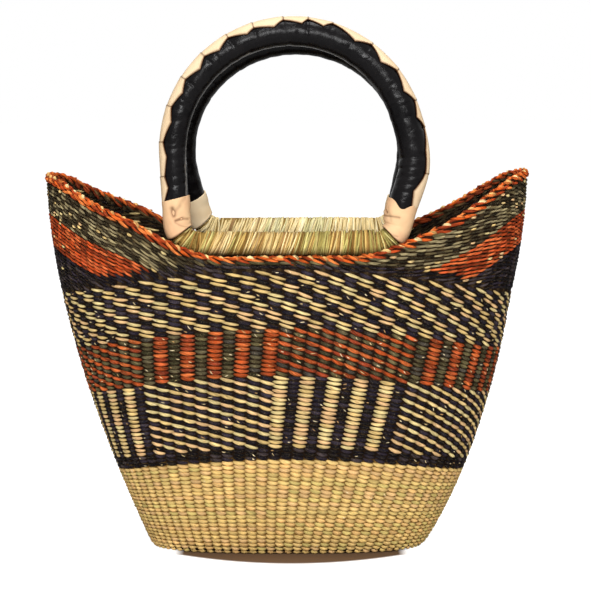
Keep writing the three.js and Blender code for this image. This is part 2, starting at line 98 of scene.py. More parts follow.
def dye(code):
    """Linear colour of a dye or hide written as a hexadecimal code."""
    parts = [int(code[i:i + 2], 16) / 255 for i in (0, 2, 4)]
    return [p / 12.92 if p <= 0.04045 else ((p + 0.055) / 1.055) ** 2.4 for p in parts]


def dyes(codes):
    """Colours of a palette, from codes with a space between them."""
    return np.array([dye(code) for code in codes.split()])


def smooth_rise(share):
    held = np.clip(share, 0, 1)
    return held * held * (3 - 2 * held)


# The wall as a surface


def half_width(height):
    remaining = np.maximum(0, (WING_HEIGHT - height) / WING_HEIGHT)
    return WING_HALF_WIDTH - (WING_HALF_WIDTH - BASE_HALF_WIDTH) * remaining ** WIDTH_FLARE_POWER


def half_depth(height):
    remaining = np.maximum(0, (RIM_MIDDLE_HEIGHT - height) / RIM_MIDDLE_HEIGHT)
    return RIM_HALF_DEPTH - (RIM_HALF_DEPTH - BASE_HALF_DEPTH) * remaining ** DEPTH_FLARE_POWER


def section_power(height):
    share = (height - RIM_MIDDLE_HEIGHT) / (WING_HEIGHT - RIM_MIDDLE_HEIGHT)
    return SECTION_POWER - (SECTION_POWER - TIP_SECTION_POWER) * smooth_rise(share)


def right_fullness(height):
    share = np.clip(height / RIGHT_FULLNESS_TOP, 0, 1)
    return RIGHT_FULLNESS * np.sin(math.pi * share ** RIGHT_FULLNESS_POWER)


def quarter_outline(wide, deep, shares, power=SECTION_POWER):
    """Quarter of a level section at equal shares of its length, from the middle of a long side."""
    angle = np.linspace(0, math.pi / 2, 480)
    across = np.sin(angle) / wide
    inwards = np.cos(angle) / deep
    reach = (across ** power + inwards ** power) ** (-1 / power)
    x, y = reach * np.sin(angle), reach * np.cos(angle)
    travelled = np.concatenate([[0], np.cumsum(np.hypot(np.diff(x), np.diff(y)))])
    wanted = shares * travelled[-1]
    return np.interp(wanted, travelled, x), np.interp(wanted, travelled, y)


OUTLINE_HEIGHTS = np.linspace(0, WING_HEIGHT, 91)
OUTLINE_SHARES = np.linspace(0, 1, 181)
outline_x = np.zeros((len(OUTLINE_HEIGHTS), len(OUTLINE_SHARES)))
outline_y = np.zeros_like(outline_x)
for level, level_height in enumerate(OUTLINE_HEIGHTS):
    wide, deep = half_width(level_height), half_depth(level_height)
    level_x, level_y = quarter_outline(wide, deep, OUTLINE_SHARES, section_power(level_height))
    outline_x[level], outline_y[level] = level_x / wide, level_y / deep


def between(table, height, share):
    """Value of an outline table between its heights and shares."""
    row = np.clip(height / WING_HEIGHT, 0, 1) * (len(OUTLINE_HEIGHTS) - 1)
    place = np.clip(share, 0, 1) * (len(OUTLINE_SHARES) - 1)
    r = np.minimum(row.astype(int), len(OUTLINE_HEIGHTS) - 2)
    p = np.minimum(place.astype(int), len(OUTLINE_SHARES) - 2)
    a, b = row - r, place - p
    low = table[r, p] * (1 - b) + table[r, p + 1] * b
    high = table[r + 1, p] * (1 - b) + table[r + 1, p + 1] * b
    return low * (1 - a) + high * a


def quarter_place(turn):
    """Quarter of the section that a turn lies in, and its share from the middle of a long side."""
    quarter = np.minimum((4 * turn).astype(int), 3)
    along = 4 * turn - quarter
    return quarter, np.where(quarter % 2 == 0, along, 1 - along)


def wall(turn, height, set_in):
    """Points of the wall, set in from its outer face. Turn 0 is the middle of the front."""
    turn, height, set_in = np.broadcast_arrays(
        np.asarray(turn, float) % 1, np.asarray(height, float), np.asarray(set_in, float)
    )
    quarter, from_middle = quarter_place(turn)
    share_x = between(outline_x, height, from_middle)
    share_y = between(outline_y, height, from_middle)
    wide, deep = half_width(height), half_depth(height)
    power = section_power(height)
    slope_x = share_x ** (power - 1) / wide
    slope_y = share_y ** (power - 1) / deep
    slope = np.hypot(slope_x, slope_y)
    side_x = np.where(quarter < 2, 1, -1)
    side_y = np.where((quarter == 0) | (quarter == 3), -1, 1)
    rise = np.minimum(1, height / RIM_MIDDLE_HEIGHT) ** PINCH_RISE_POWER
    pinch = RIM_PINCH * (1 - smooth_rise(share_x / PINCH_REACH_SHARE)) * rise
    fullness = np.where(side_x > 0, right_fullness(height) * share_x ** 2, 0)
    x = side_x * (share_x * wide - set_in * slope_x / slope) + fullness
    y = side_y * (share_y * deep - pinch - set_in * slope_y / slope)
    return np.stack([x, y, height], axis=-1)


def width_share(turn):
    _, from_middle = quarter_place(turn % 1)
    return between(outline_x, np.full_like(from_middle, RIM_MIDDLE_HEIGHT), from_middle)


def rim_top(turn):
    share = width_share(turn)
    right = np.mod(turn, 1.0) < 0.5
    sweep = RIM_SWEEP_END_SHARE - RIM_LOW_SHARE
    rise = smooth_rise((share - RIM_LOW_SHARE) / sweep)
    full_rise = smooth_rise((1 - RIM_LOW_SHARE) / sweep)
    dip_start = np.where(right, RIGHT_DIP_START_SHARE, LEFT_DIP_START_SHARE)
    dip_share = np.clip((share - dip_start) / (1 - dip_start), 0, 1)
    dip = RIM_DIP * np.sin(math.pi * dip_share ** RIM_DIP_POWER)
    lift = np.where(right, RIGHT_TIP_LIFT * dip_share ** RIGHT_TIP_LIFT_POWER, 0)
    return RIM_MIDDLE_HEIGHT + (WING_HEIGHT - RIM_MIDDLE_HEIGHT) * rise / full_rise - dip + lift


def band_edge(end_height, middle_height):
    """A band edge arches from its height at the ends to its height at the middle."""
    return lambda turn: end_height + (middle_height - end_height) * (1 - width_share(turn) ** 2)


def stake_turn(column, height):
    """Turn share of a stake at a height."""
    place = column + STAKE_LEAN * (height - STAKE_LEAN_START)
    half = STAKES / 2
    middle = np.round(place / half) * half
    away = place - middle
    past = np.maximum(0, np.abs(away) - EVEN_STAKES)
    reach = np.minimum(np.abs(away), EVEN_STAKES)
    reach = reach + (np.sqrt(1 + 4 * CROWDING * past) - 1) / (2 * CROWDING)
    furthest = math.sqrt(1 + 4 * CROWDING * (half / 2 - EVEN_STAKES)) - 1
    full = EVEN_STAKES + furthest / (2 * CROWDING)
    return middle / STAKES + np.sign(away) * reach / full / 4


def on_row(column, edge):
    """Turn share and height where a row crosses a stake."""
    height = np.full_like(np.asarray(column, float), RIM_MIDDLE_HEIGHT)
    for _ in range(4):
        turn = stake_turn(column, height)
        height = edge(turn)
    return turn, height


# Helpers for meshes


def unit(vectors):
    return vectors / np.linalg.norm(vectors, axis=-1, keepdims=True)


def swung(x, y, angle):
    """Two axes turned by an angle in the plane that they span."""
    c, s = np.cos(angle)[:, None], np.sin(angle)[:, None]
    return c * x + s * y, c * y - s * x


def quaternions(x, y, z):
    """Turns, as w x y z, that take the three axes to the given unit vectors."""
    result = np.zeros(x.shape[:-1] + (4,))
    for i, axes in enumerate(zip(x, y, z)):
        m = np.column_stack(axes)
        trace = m[0, 0] + m[1, 1] + m[2, 2]
        if trace > 0:
            s = 2 * math.sqrt(trace + 1)
            q = (s / 4, (m[2, 1] - m[1, 2]) / s, (m[0, 2] - m[2, 0]) / s, (m[1, 0] - m[0, 1]) / s)
        elif m[0, 0] > m[1, 1] and m[0, 0] > m[2, 2]:
            s = 2 * math.sqrt(1 + m[0, 0] - m[1, 1] - m[2, 2])
            q = ((m[2, 1] - m[1, 2]) / s, s / 4, (m[0, 1] + m[1, 0]) / s, (m[0, 2] + m[2, 0]) / s)
        elif m[1, 1] > m[2, 2]:
            s = 2 * math.sqrt(1 + m[1, 1] - m[0, 0] - m[2, 2])
            q = ((m[0, 2] - m[2, 0]) / s, (m[0, 1] + m[1, 0]) / s, s / 4, (m[1, 2] + m[2, 1]) / s)
        else:
            s = 2 * math.sqrt(1 + m[2, 2] - m[0, 0] - m[1, 1])
            q = ((m[1, 0] - m[0, 1]) / s, (m[0, 2] + m[2, 0]) / s, (m[1, 2] + m[2, 1]) / s, s / 4)
        result[i] = q
    return result


def add_object(name, data):
    made = bpy.data.objects.new(name, data)
    bpy.context.scene.collection.objects.link(made)
    return made


def mark_points(mesh, name, values, kind="FLOAT", key="value"):
    """Stores a named value on each point of a mesh."""
    mark = mesh.attributes.new(name, kind, "POINT")
    mark.data.foreach_set(key, np.asarray(values, np.float32).ravel())


def mesh_object(name, points, faces, uvs=None):
    """Object of a mesh given in millimetres, with one UV pair for each corner of each face."""
    mesh = bpy.data.meshes.new(name)
    mesh.from_pydata([tuple(p) for p in np.asarray(points, float) * MM], [], faces)
    if uvs is not None:
        layer = mesh.uv_layers.new(name="straw_uv")
        layer.data.foreach_set("uv", np.asarray(uvs, np.float32).ravel())
    mesh.shade_smooth()
    return add_object(name, mesh)


def skinned(name, grid, ring_along=False, u_span=1.0):
    """Closed solid over a grid of loops: rows along it, columns round it. Open ends get a fan."""
    grid = np.asarray(grid, float)
    rows, cols = grid.shape[:2]
    points = list(grid.reshape(-1, 3))
    faces, uvs = [], []
    spans = rows if ring_along else rows - 1
    for i in range(spans):
        here, there = i * cols, ((i + 1) % rows) * cols
        u0, u1 = u_span * i / spans, u_span * (i + 1) / spans
        for j in range(cols):
            k = (j + 1) % cols
            v0, v1 = j / cols, (j + 1) / cols
            faces.append((here + j, here + k, there + k, there + j))
            uvs.append([(u0, v0), (u0, v1), (u1, v1), (u1, v0)])
    if not ring_along:
        for row, at_end in ((0, False), (rows - 1, True)):
            centre = len(points)
            points.append(grid[row].mean(axis=0))
            for j in range(cols):
                k = (j + 1) % cols
                a, b = (row * cols + j, row * cols + k) if at_end else (row * cols + k, row * cols + j)
                faces.append((a, b, centre))
                u = u_span if at_end else 0.0
                uvs.append([(u, j / cols), (u, k / cols), (u, j / cols)])
    triangles = [face[:3] for face in faces] + [(face[0], *face[2:]) for face in faces if len(face) == 4]
    volume = np.linalg.det(np.asarray(points)[np.array(triangles)]).sum()
    if volume < 0:
        faces = [face[::-1] for face in faces]
        uvs = [corners[::-1] for corners in uvs]
    return mesh_object(name, points, faces, [pair for corners in uvs for pair in corners])


# Helpers for nodes


def group_tree(name, kind, inputs, outputs):
    """Empty node group, with the sockets that it takes and the sockets that it gives."""
    tree = bpy.data.node_groups.new(name, kind)
    for label, socket_kind, value in inputs:
        socket = tree.interface.new_socket(label, in_out="INPUT", socket_type=socket_kind)
        if value is not None:
            socket.default_value = value
    for label, socket_kind in outputs:
        tree.interface.new_socket(label, in_out="OUTPUT", socket_type=socket_kind)
    return tree, tree.nodes.new("NodeGroupInput").outputs, tree.nodes.new("NodeGroupOutput").inputs


def feed(tree, socket, value):
    """Links a source to a socket, or sets the socket's number, word or colour."""
    if isinstance(value, bpy.types.NodeSocket):
        tree.links.new(value, socket)
    elif isinstance(value, list):
        socket.default_value = (*value, 1.0)
    else:
        socket.default_value = value


def add_node(tree, kind, inputs=None, **settings):
    """New node with its settings, then its inputs fed by name or place."""
    node = tree.nodes.new(kind)
    for label, value in settings.items():
        setattr(node, label, value)
    for label, value in (inputs or {}).items():
        feed(tree, node.inputs[label], value)
    return node


def calculate(tree, operation, *values):
    """Math node over sockets or numbers; gives its output."""
    return add_node(tree, "ShaderNodeMath", dict(enumerate(values)), operation=operation).outputs[0]


def vector_of(tree, x, y, z):
    return add_node(tree, "ShaderNodeCombineXYZ", {"X": x, "Y": y, "Z": z}).outputs[0]


def multiplied(tree, first, second):
    vectors = {0: first, 1: second}
    return add_node(tree, "ShaderNodeVectorMath", vectors, operation="MULTIPLY").outputs[0]


# Geometry Nodes: strands set on a cloud of places

UNEVENNESS = 0.06


def strand_tree():
    """Sets one strand on every place, turned and sized by the place's own attributes."""
    tree, given, result = group_tree(
        "strands on their places",
        "GeometryNodeTree",
        [
            ("Places", "NodeSocketGeometry", None),
            ("Strand", "NodeSocketObject", None),
            ("Straw", "NodeSocketMaterial", None),
            ("Length share", "NodeSocketFloat", 1.0),
            ("Thickness share", "NodeSocketFloat", 1.0),
            ("Unevenness", "NodeSocketFloat", UNEVENNESS),
            ("Seed", "NodeSocketInt", 1),
        ],
        [("Weave", "NodeSocketGeometry")],
    )
    turn = add_node(tree, "GeometryNodeInputNamedAttribute", {"Name": "turn"}, data_type="QUATERNION")
    size = add_node(tree, "GeometryNodeInputNamedAttribute", {"Name": "size"}, data_type="FLOAT_VECTOR")
    shares = vector_of(tree, given["Length share"], given["Thickness share"], given["Thickness share"])
    sized = multiplied(tree, size.outputs["Attribute"], shares)
    uneven = add_node(tree, "FunctionNodeRandomValue", {
        "Min": calculate(tree, "SUBTRACT", 1.0, given["Unevenness"]),
        "Max": calculate(tree, "ADD", 1.0, given["Unevenness"]),
        "Seed": given["Seed"],
    }, data_type="FLOAT_VECTOR")
    shade = add_node(tree, "FunctionNodeRandomValue", {"Seed": given["Seed"]}, data_type="FLOAT")
    marked = add_node(tree, "GeometryNodeStoreNamedAttribute", {
        "Geometry": given["Places"],
        "Name": "shade",
        "Value": [s for s in shade.outputs if s.type == "VALUE" and s.enabled][0],
    }, data_type="FLOAT")
    strand = add_node(tree, "GeometryNodeObjectInfo", {"Object": given["Strand"]})
    placed = add_node(tree, "GeometryNodeInstanceOnPoints", {
        "Points": marked.outputs["Geometry"],
        "Instance": strand.outputs["Geometry"],
        "Rotation": turn.outputs["Attribute"],
        "Scale": multiplied(tree, sized, uneven.outputs["Value"]),
    })
    real = add_node(tree, "GeometryNodeRealizeInstances", {"Geometry": placed.outputs["Instances"]})
    finished = add_node(tree, "GeometryNodeSetMaterial", {
        "Geometry": real.outputs["Geometry"],
        "Material": given["Straw"],
    })
    feed(tree, result["Weave"], finished.outputs["Geometry"])
    return tree


STRANDS_ON_PLACES = strand_tree()


def strand_shape(name, sides, stations, bow, sag, bluntness):
    """One float of a strand, a unit long: a spindle that bows outwards and dives at both ends."""
    points = [(-0.5, 0, -bow)]
    for x in stations:
        girth = math.cos(math.pi * x) ** bluntness
        lift = bow * (math.cos(math.pi * x) - 1)
        for j in range(sides):
            angle = 2 * math.pi * (j + 0.5) / sides
            y = 0.5 * girth * math.sin(angle) - sag * (math.cos(math.pi * x) - 0.5)
            points.append((x, y, 0.5 * girth * math.cos(angle) + lift))
    points.append((0.5, 0, -bow))
    faces, uvs = [], []
    last = len(points) - 1
    us = [x + 0.5 for x in stations]
    for j in range(sides):
        k = (j + 1) % sides
        v0, v1 = j / sides, (j + 1) / sides
        faces.append((0, 1 + k, 1 + j))
        uvs += [(0, v0), (us[0], v1), (us[0], v0)]
        for i in range(len(stations) - 1):
            a, b = 1 + i * sides, 1 + (i + 1) * sides
            faces.append((a + j, a + k, b + k, b + j))
            uvs += [(us[i], v0), (us[i], v1), (us[i + 1], v1), (us[i + 1], v0)]
        a = 1 + (len(stations) - 1) * sides
        faces.append((a + j, a + k, last))
        uvs += [(us[-1], v0), (us[-1], v1), (1, v0)]
    shape = mesh_object(name, np.asarray(points) / MM, faces, uvs)
    outward = (Vector(points[1]) - Vector((stations[0], 0, 0))).dot(shape.data.polygons[0].normal)
    if outward < 0:
        shape.data.flip_normals()
    return shape


def set_strands(name, strand, straw, places, seed, unevenness=UNEVENNESS):
    """Plain mesh of one strand set on every place."""
    mesh = bpy.data.meshes.new(name + " places")
    mesh.from_pydata([tuple(p) for p in places["at"] * MM], [], [])
    mark_points(mesh, "turn", places["turn"], "QUATERNION")
    mark_points(mesh, "size", places["size"] * MM, "FLOAT_VECTOR", "vector")
    full = np.concatenate([places["dye"], np.ones((len(places["dye"]), 1))], axis=1)
    mark_points(mesh, "dye", full, "FLOAT_COLOR", "color")
    carrier = add_object(name + " places", mesh)
    modifier = carrier.modifiers.new("strands", "NODES")
    modifier.node_group = STRANDS_ON_PLACES
    values = {
        "Strand": strand,
        "Straw": straw,
        "Length share": 1.0,
        "Thickness share": 1.0,
        "Unevenness": unevenness,
        "Seed": seed,
    }
    for socket in STRANDS_ON_PLACES.interface.items_tree:
        if socket.in_out == "INPUT" and socket.name in values:
            modifier[socket.identifier] = values[socket.name]
    graph = bpy.context.evaluated_depsgraph_get()
    made = bpy.data.meshes.new_from_object(
        carrier.evaluated_get(graph), preserve_all_data_layers=True, depsgraph=graph
    )
    carrier.modifiers.remove(modifier)
    bpy.data.objects.remove(carrier)
    for spare in ("turn", "size"):
        if spare in made.attributes:
            made.attributes.remove(made.attributes[spare])
    made.name = name
    made.shade_smooth()
    return add_object(name, made)


def together(groups):
    return {key: np.concatenate([g[key] for g in groups]) for key in groups[0]}


# Node groups and finishes

# Nearly all values of a noise lie between these two
NOISE_LOW, NOISE_HIGH = 0.3, 0.7
# Where in its noise of hairs a straw starts to be rubbed pale, and where it is fully so
FLECK_START, FLECK_FULL = 0.61, 0.69
FLECK_COLOUR = dye("d8c190")
STRAW_SHINE = 0.03
STRAW_RELIEF = 0.0003
# Painted shade that darkens the lashed straw below a height: its colour, its strength and the height over
# which it fades
PAINTED_SHADE_COLOUR = dye("3b2110")
PAINTED_SHADE_STRENGTH = 0.85
PAINTED_SHADE_FADE_HEIGHT = 0.0085


def noise_of(tree, vector, scale, detail, roughness=0.5):
    settings = {"Vector": vector, "Scale": scale, "Detail": detail, "Roughness": roughness}
    return add_node(tree, "ShaderNodeTexNoise", settings).outputs["Fac"]


def ranged(tree, value, from_low, from_high, to_low, to_high):
    ends = {"From Min": from_low, "From Max": from_high, "To Min": to_low, "To Max": to_high}
    return add_node(tree, "ShaderNodeMapRange", {"Value": value, **ends}).outputs["Result"]


def noise_ranged(tree, noise, low, high):
    return ranged(tree, noise, NOISE_LOW, NOISE_HIGH, low, high)


def mixed(tree, factor, first, second):
    """Mix of two colours, each of them a socket or a dye."""
    node = add_node(tree, "ShaderNodeMix", {"Factor": factor}, data_type="RGBA")
    colours = [s for s in node.inputs if s.type == "RGBA"]
    feed(tree, colours[0], first)
    feed(tree, colours[1], second)
    return [s for s in node.outputs if s.type == "RGBA"][0]


def axes_of(tree, vector):
    return add_node(tree, "ShaderNodeSeparateXYZ", {0: vector}).outputs


def object_place(tree):
    return tree.nodes.new("ShaderNodeTexCoord").outputs["Object"]


def straw_place(tree):
    """Place along and round a straw, from its UV map."""
    return add_node(tree, "ShaderNodeUVMap", uv_map="straw_uv").outputs["UV"]


def read_attribute(tree, name, output="Fac"):
    return add_node(tree, "ShaderNodeAttribute", attribute_name=name).outputs[output]


def raised(tree, height, distance):
    return add_node(tree, "ShaderNodeBump", {
        "Distance": distance, "Strength": 1.0, "Height": height,
    }).outputs["Normal"]


def split_straw_group():
    """Twisted split grass: streaks and hairs along the strand, rubbed pale flecks, and dark ends that are
    painted shade where a float dives into the weave.
    """
    tree, given, result = group_tree(
        "split straw",
        "ShaderNodeTree",
        [
            ("Dye", "NodeSocketColor", (0.5, 0.4, 0.2, 1)),
            ("Shade", "NodeSocketFloat", 0.5),
            ("Along and round", "NodeSocketVector", None),
            ("Streak contrast", "NodeSocketFloat", 0.35),
            ("End darkness", "NodeSocketFloat", 0.5),
            ("Pale flecks", "NodeSocketFloat", 0.2),
            ("Twist", "NodeSocketFloat", 1.2),
        ],
        [("Colour", "NodeSocketColor"), ("Roughness", "NodeSocketFloat"), ("Height", "NodeSocketFloat")],
    )
    along, round_it, _ = axes_of(tree, given["Along and round"])
    shade = given["Shade"]
    # The pattern goes round the strand in a circle, so that it has no seam
    circle = calculate(tree, "MULTIPLY", round_it, 2 * math.pi)
    wound = calculate(tree, "MULTIPLY_ADD", along, given["Twist"], circle)
    side = calculate(tree, "SINE", wound)
    front = calculate(tree, "COSINE", wound)
    # The shade of a straw also picks its own stretch of both noises
    lot = calculate(tree, "MULTIPLY_ADD", shade, 53.0, along)
    streak = noise_of(tree, vector_of(tree, side, front, lot), scale=1.6, detail=3.0)
    fine = calculate(tree, "MULTIPLY_ADD", along, 1.6, calculate(tree, "MULTIPLY", shade, 91.0))
    hairs = noise_of(tree, vector_of(tree, side, front, fine), scale=6.5, detail=2.0, roughness=0.6)
    low = calculate(tree, "SUBTRACT", 1.0, given["Streak contrast"])
    high = calculate(tree, "ADD", 1.0, given["Streak contrast"])
    streaked = noise_ranged(tree, streak, low, high)
    haired = noise_ranged(tree, hairs, 0.86, 1.12)
    lotted = ranged(tree, shade, 0.0, 1.0, 0.86, 1.12)
    # Painted shade: a float darkens towards its two ends, where it dives into the weave
    middle = calculate(tree, "MULTIPLY", along, calculate(tree, "SUBTRACT", 1.0, along))
    body = calculate(tree, "POWER", calculate(tree, "MULTIPLY", middle, 4.0), 0.7)
    end_low = calculate(tree, "SUBTRACT", 1.0, given["End darkness"])
    ended = ranged(tree, body, 0.0, 1.0, end_low, 1.0)
    level = calculate(tree, "MULTIPLY", calculate(tree, "MULTIPLY", streaked, haired),
                      calculate(tree, "MULTIPLY", lotted, ended))
    dyed = add_node(tree, "ShaderNodeVectorMath", {0: given["Dye"], "Scale": level}, operation="SCALE")
    paler = ranged(tree, hairs, FLECK_START, FLECK_FULL, 0.0, 1.0)
    fleck = calculate(tree, "MULTIPLY", paler, given["Pale flecks"])
    feed(tree, result["Colour"], mixed(tree, fleck, dyed.outputs[0], FLECK_COLOUR))
    feed(tree, result["Roughness"], noise_ranged(tree, hairs, 0.52, 0.72))
    feed(tree, result["Height"], calculate(tree, "ADD", hairs, streak))
    return tree


def hide_group():
    """Goat hide: pebbled grain and soft creases, from a position in metres."""
    tree, given, result = group_tree(
        "goat hide",
        "ShaderNodeTree",
        [
            ("Position", "NodeSocketVector", None),
            ("Grain per metre", "NodeSocketFloat", 1400.0),
            ("Creases per metre", "NodeSocketFloat", 90.0),
        ],
        [("Grain", "NodeSocketFloat"), ("Creases", "NodeSocketFloat"), ("Mottle", "NodeSocketFloat")],
    )
    cells = add_node(tree, "ShaderNodeTexVoronoi", {
        "Vector": given["Position"], "Scale": given["Grain per metre"],
    }, feature="DISTANCE_TO_EDGE")
    crease = add_node(tree, "ShaderNodeTexNoise", {
        "Vector": given["Position"], "Scale": given["Creases per metre"], "Detail": 4.0, "Distortion": 1.4,
    })
    feed(tree, result["Grain"], ranged(tree, cells.outputs["Distance"], 0.0, 0.35, 0.0, 1.0))
    feed(tree, result["Creases"], crease.outputs["Fac"])
    mottle = noise_of(tree, given["Position"], scale=34.0, detail=3.0, roughness=0.6)
    feed(tree, result["Mottle"], mottle)
    return tree


SPLIT_STRAW = split_straw_group()
GOAT_HIDE = hide_group()


def new_finish(name):
    material = bpy.data.materials.new(name)
    material.use_nodes = True
    return material, material.node_tree


def coat(material, colour, roughness, normal, shine=STRAW_SHINE):
    """Gives a finish its colour, roughness, relief and shine."""
    tree = material.node_tree
    surface = tree.nodes["Principled BSDF"].inputs
    feed(tree, surface["Base Color"], colour)
    feed(tree, surface["Roughness"], roughness)
    feed(tree, surface["Normal"], normal)
    feed(tree, surface["Specular IOR Level"], shine)
    return material


def straw_finish(name, streaks, ends, flecks, twist, shade_painted_below=None):
    """Split straw; below a height in metres its colour darkens as painted shade."""
    material, tree = new_finish(name)
    straw = add_node(tree, "ShaderNodeGroup", {
        "Dye": read_attribute(tree, "dye", "Color"),
        "Shade": read_attribute(tree, "shade"),
        "Along and round": straw_place(tree),
        "Streak contrast": streaks,
        "End darkness": ends,
        "Pale flecks": flecks,
        "Twist": twist,
    }, node_tree=SPLIT_STRAW).outputs
    colour = straw["Colour"]
    if shade_painted_below:
        # Painted shade: the colour gets darker towards the bottom
        height = axes_of(tree, object_place(tree))[2]
        fade_start = shade_painted_below - PAINTED_SHADE_FADE_HEIGHT
        painted_shade_mask = ranged(tree, height, fade_start, shade_painted_below, PAINTED_SHADE_STRENGTH, 0.0)
        colour = mixed(tree, painted_shade_mask, colour, PAINTED_SHADE_COLOUR)
    return coat(material, colour, straw["Roughness"], raised(tree, straw["Height"], STRAW_RELIEF))


natural_straw = straw_finish("natural_straw", streaks=0.28, ends=0.5, flecks=0.3, twist=2.0)
navy_straw = straw_finish("navy_straw", streaks=0.85, ends=0.5, flecks=0.34, twist=2.2)
navy_and_tan_straw = straw_finish("navy_and_tan_straw", streaks=0.45, ends=0.65, flecks=0.34, twist=2.2)
rust_and_olive_straw = straw_finish("rust_and_olive_straw", streaks=0.75, ends=0.85, flecks=0.45, twist=2.2)
olive_straw = straw_finish("olive_straw", streaks=0.65, ends=0.8, flecks=0.4, twist=2.0)
rust_straw = straw_finish("rust_straw", streaks=0.65, ends=0.85, flecks=0.16, twist=2.0)
# The lashed straw gets painted shade on the lower side of the bars
yellow_green_straw = straw_finish(
    "yellow_green_straw", streaks=0.5, ends=0.0, flecks=0.3, twist=2.0, shade_painted_below=0.2975,
)


def stake_finish():
    """Undyed stakes; between them a dark colour, painted shade for the gaps of the weave."""
    material, tree = new_finish("stake_straw")
    rib = read_attribute(tree, "rib")
    undyed = read_attribute(tree, "undyed")
    streak = noise_of(tree, object_place(tree), scale=900.0, detail=3.0)
    rubbed = mixed(tree, undyed, dye("1c140e"), dye("8f7440"))
    paler = mixed(tree, undyed, dye("4a3a25"), dye("b89a60"))
    pale = mixed(tree, noise_ranged(tree, streak, 0.0, 1.0), rubbed, paler)
    dark = mixed(tree, streak, dye("140d09"), dye("2a1d12"))
    # Painted shade between the stakes: brown in the natural band, near black above it
    painted_shade_between = mixed(tree, undyed, dark, dye("7d5c2e"))
    colour = mixed(tree, ranged(tree, rib, 0.55, 0.8, 0.0, 1.0), painted_shade_between, pale)
    return coat(material, colour, noise_ranged(tree, streak, 0.7, 0.9), raised(tree, streak, STRAW_RELIEF))


stake_straw = stake_finish()


def leather_finish(name, dark, light, roughness, shine, grain_relief, crease_relief, mark, mark_colour):
    """Goat leather; the named attribute marks places in the mark colour: a painted highlight line on the
    black grip, and on the cuffs and laces dark cut edges with painted shade.
    """
    material, tree = new_finish(name)
    hide = add_node(tree, "ShaderNodeGroup", {"Position": object_place(tree)}, node_tree=GOAT_HIDE).outputs
    mottle = ranged(tree, hide["Mottle"], 0.35, 0.65, 0.0, 1.0)
    plain = mixed(tree, mottle, dye(dark), dye(light))
    marked = mixed(tree, read_attribute(tree, mark), plain, dye(mark_colour))
    rough = noise_ranged(tree, hide["Creases"], roughness - 0.07, roughness + 0.1)
    crease = calculate(tree, "MULTIPLY", hide["Creases"], crease_relief)
    height = calculate(tree, "MULTIPLY_ADD", hide["Grain"], grain_relief, crease)
    return coat(material, marked, rough, raised(tree, height, 0.001), shine)


def undyed_leather(name, dark, light, crease_relief):
    """Leather of the cuffs and laces, dark at its cut edges, partly as painted shade, and with painted shade
    in its folds.
    """
    return leather_finish(
        name, dark, light, roughness=0.62, shine=0.05, grain_relief=0.05, crease_relief=crease_relief,
        mark="dark_edge_and_shade", mark_colour="4a2a14",
    )


# Its mark colour paints a highlight line along the front grip
black_leather = leather_finish(
    "black_leather", "060506", "0e0c0d", roughness=0.24, shine=0.1, grain_relief=0.02, crease_relief=0.6,
    mark="paler", mark_colour="7d7872",
)
# A lighter copy of the tan leather for the back cuffs: painted light where the lamps leave them in shade
tan_leather_painted_light = undyed_leather("tan_leather_painted_light", "f0d3a8", "f7e0bb", 0.3)
tan_leather = undyed_leather("tan_leather", "d3a881", "dfbc90", 0.5)
lace_leather = undyed_leather("lace_leather", "dcc09b", "e4caa6", 0.3)


def grass_finish(name, dark, light):
    """Bundled stems, streaked along their length."""
    material, tree = new_finish(name)
    along, round_it, _ = axes_of(tree, straw_place(tree))
    circle = calculate(tree, "MULTIPLY", round_it, 2 * math.pi)
    stems = vector_of(tree, calculate(tree, "SINE", circle), calculate(tree, "COSINE", circle),
                      calculate(tree, "MULTIPLY", along, 0.02))
    streak = noise_of(tree, stems, scale=9.0, detail=4.0, roughness=0.6)
    colour = mixed(tree, noise_ranged(tree, streak, 0.0, 1.0), dye(dark), dye(light))
    return coat(material, colour, noise_ranged(tree, streak, 0.7, 0.9), raised(tree, streak, 0.0005))


grass_core = grass_finish("grass_core", "6b5228", "a58747")
# The rim's core is near black: painted shade, seen in the gaps between the braid's strands
rim_core_straw = grass_finish("rim_core_straw", "1d100a", "3a2013")


# Colours of the straw

NATURAL_HUES = dyes("d9b673 dcb976 d2b570 c8b26c dab070 d6af77 d6b46f")
TAN_HUES = dyes("d9bb80 d0b173 d2bd84 d6ae7c")
NAVY_HUES = dyes("0c0a0e 0f0c12 18141a 26202a 3a3234")
DARK_HUES = dyes("17131c 221d28 100e12 2f2934 1a1822")
RUST_HUES = dyes("a8481f 8f3c1c b5532a 8a3820 bf6030")
OLIVE_HUES = dyes("453d29 34301f 5f5639 3f3a33 58503a")
INSIDE_HUES = dyes("17131a 14100e 3a3223 1b1512 2a2018 c9b078")
WING_OLIVE_HUES = dyes("2a2318 857859 3d3526 62563b 1f1a12 968863")
WING_RUST_HUES = dyes("c0522a 8f3a1b cf6636 7a2f16 b5481f")
FRAY_HUES = dyes("efdcb0 d8bd85 c79a62 e8cf9c")
RIM_RUST = dyes("c4551f 8f381a d0652c a33f1c dd7a3c")
RIM_INNER = dyes("8f3c1e 74301b a34a26 5f4a2e 3d3424")
RIM_CREAM = dyes("deb878 cf9a5c e6c890 c46f38 d9a868")
ROLL_GREEN = dyes("bdaf68 a79856 cfc17e 96874a c9a862")
ROLL_TAN = dyes("dcbf85 d9bd80 b8975a e8d29c cba967")
ROLL_YELLOW = dyes("deba70 dcb96e bf9a4e e8cd8a cfa95a")
ROLL_PALE = dyes("f2deac ead39c f6e6bc e6cc92 f0d8a0")
ROLL_PALE_GREEN = dyes("dcd3a0 d3c992 e6dcae e2cf9a")


def hues(palette, rng, shape):
    return palette[rng.integers(0, len(palette), shape)]


# Floats of the weave

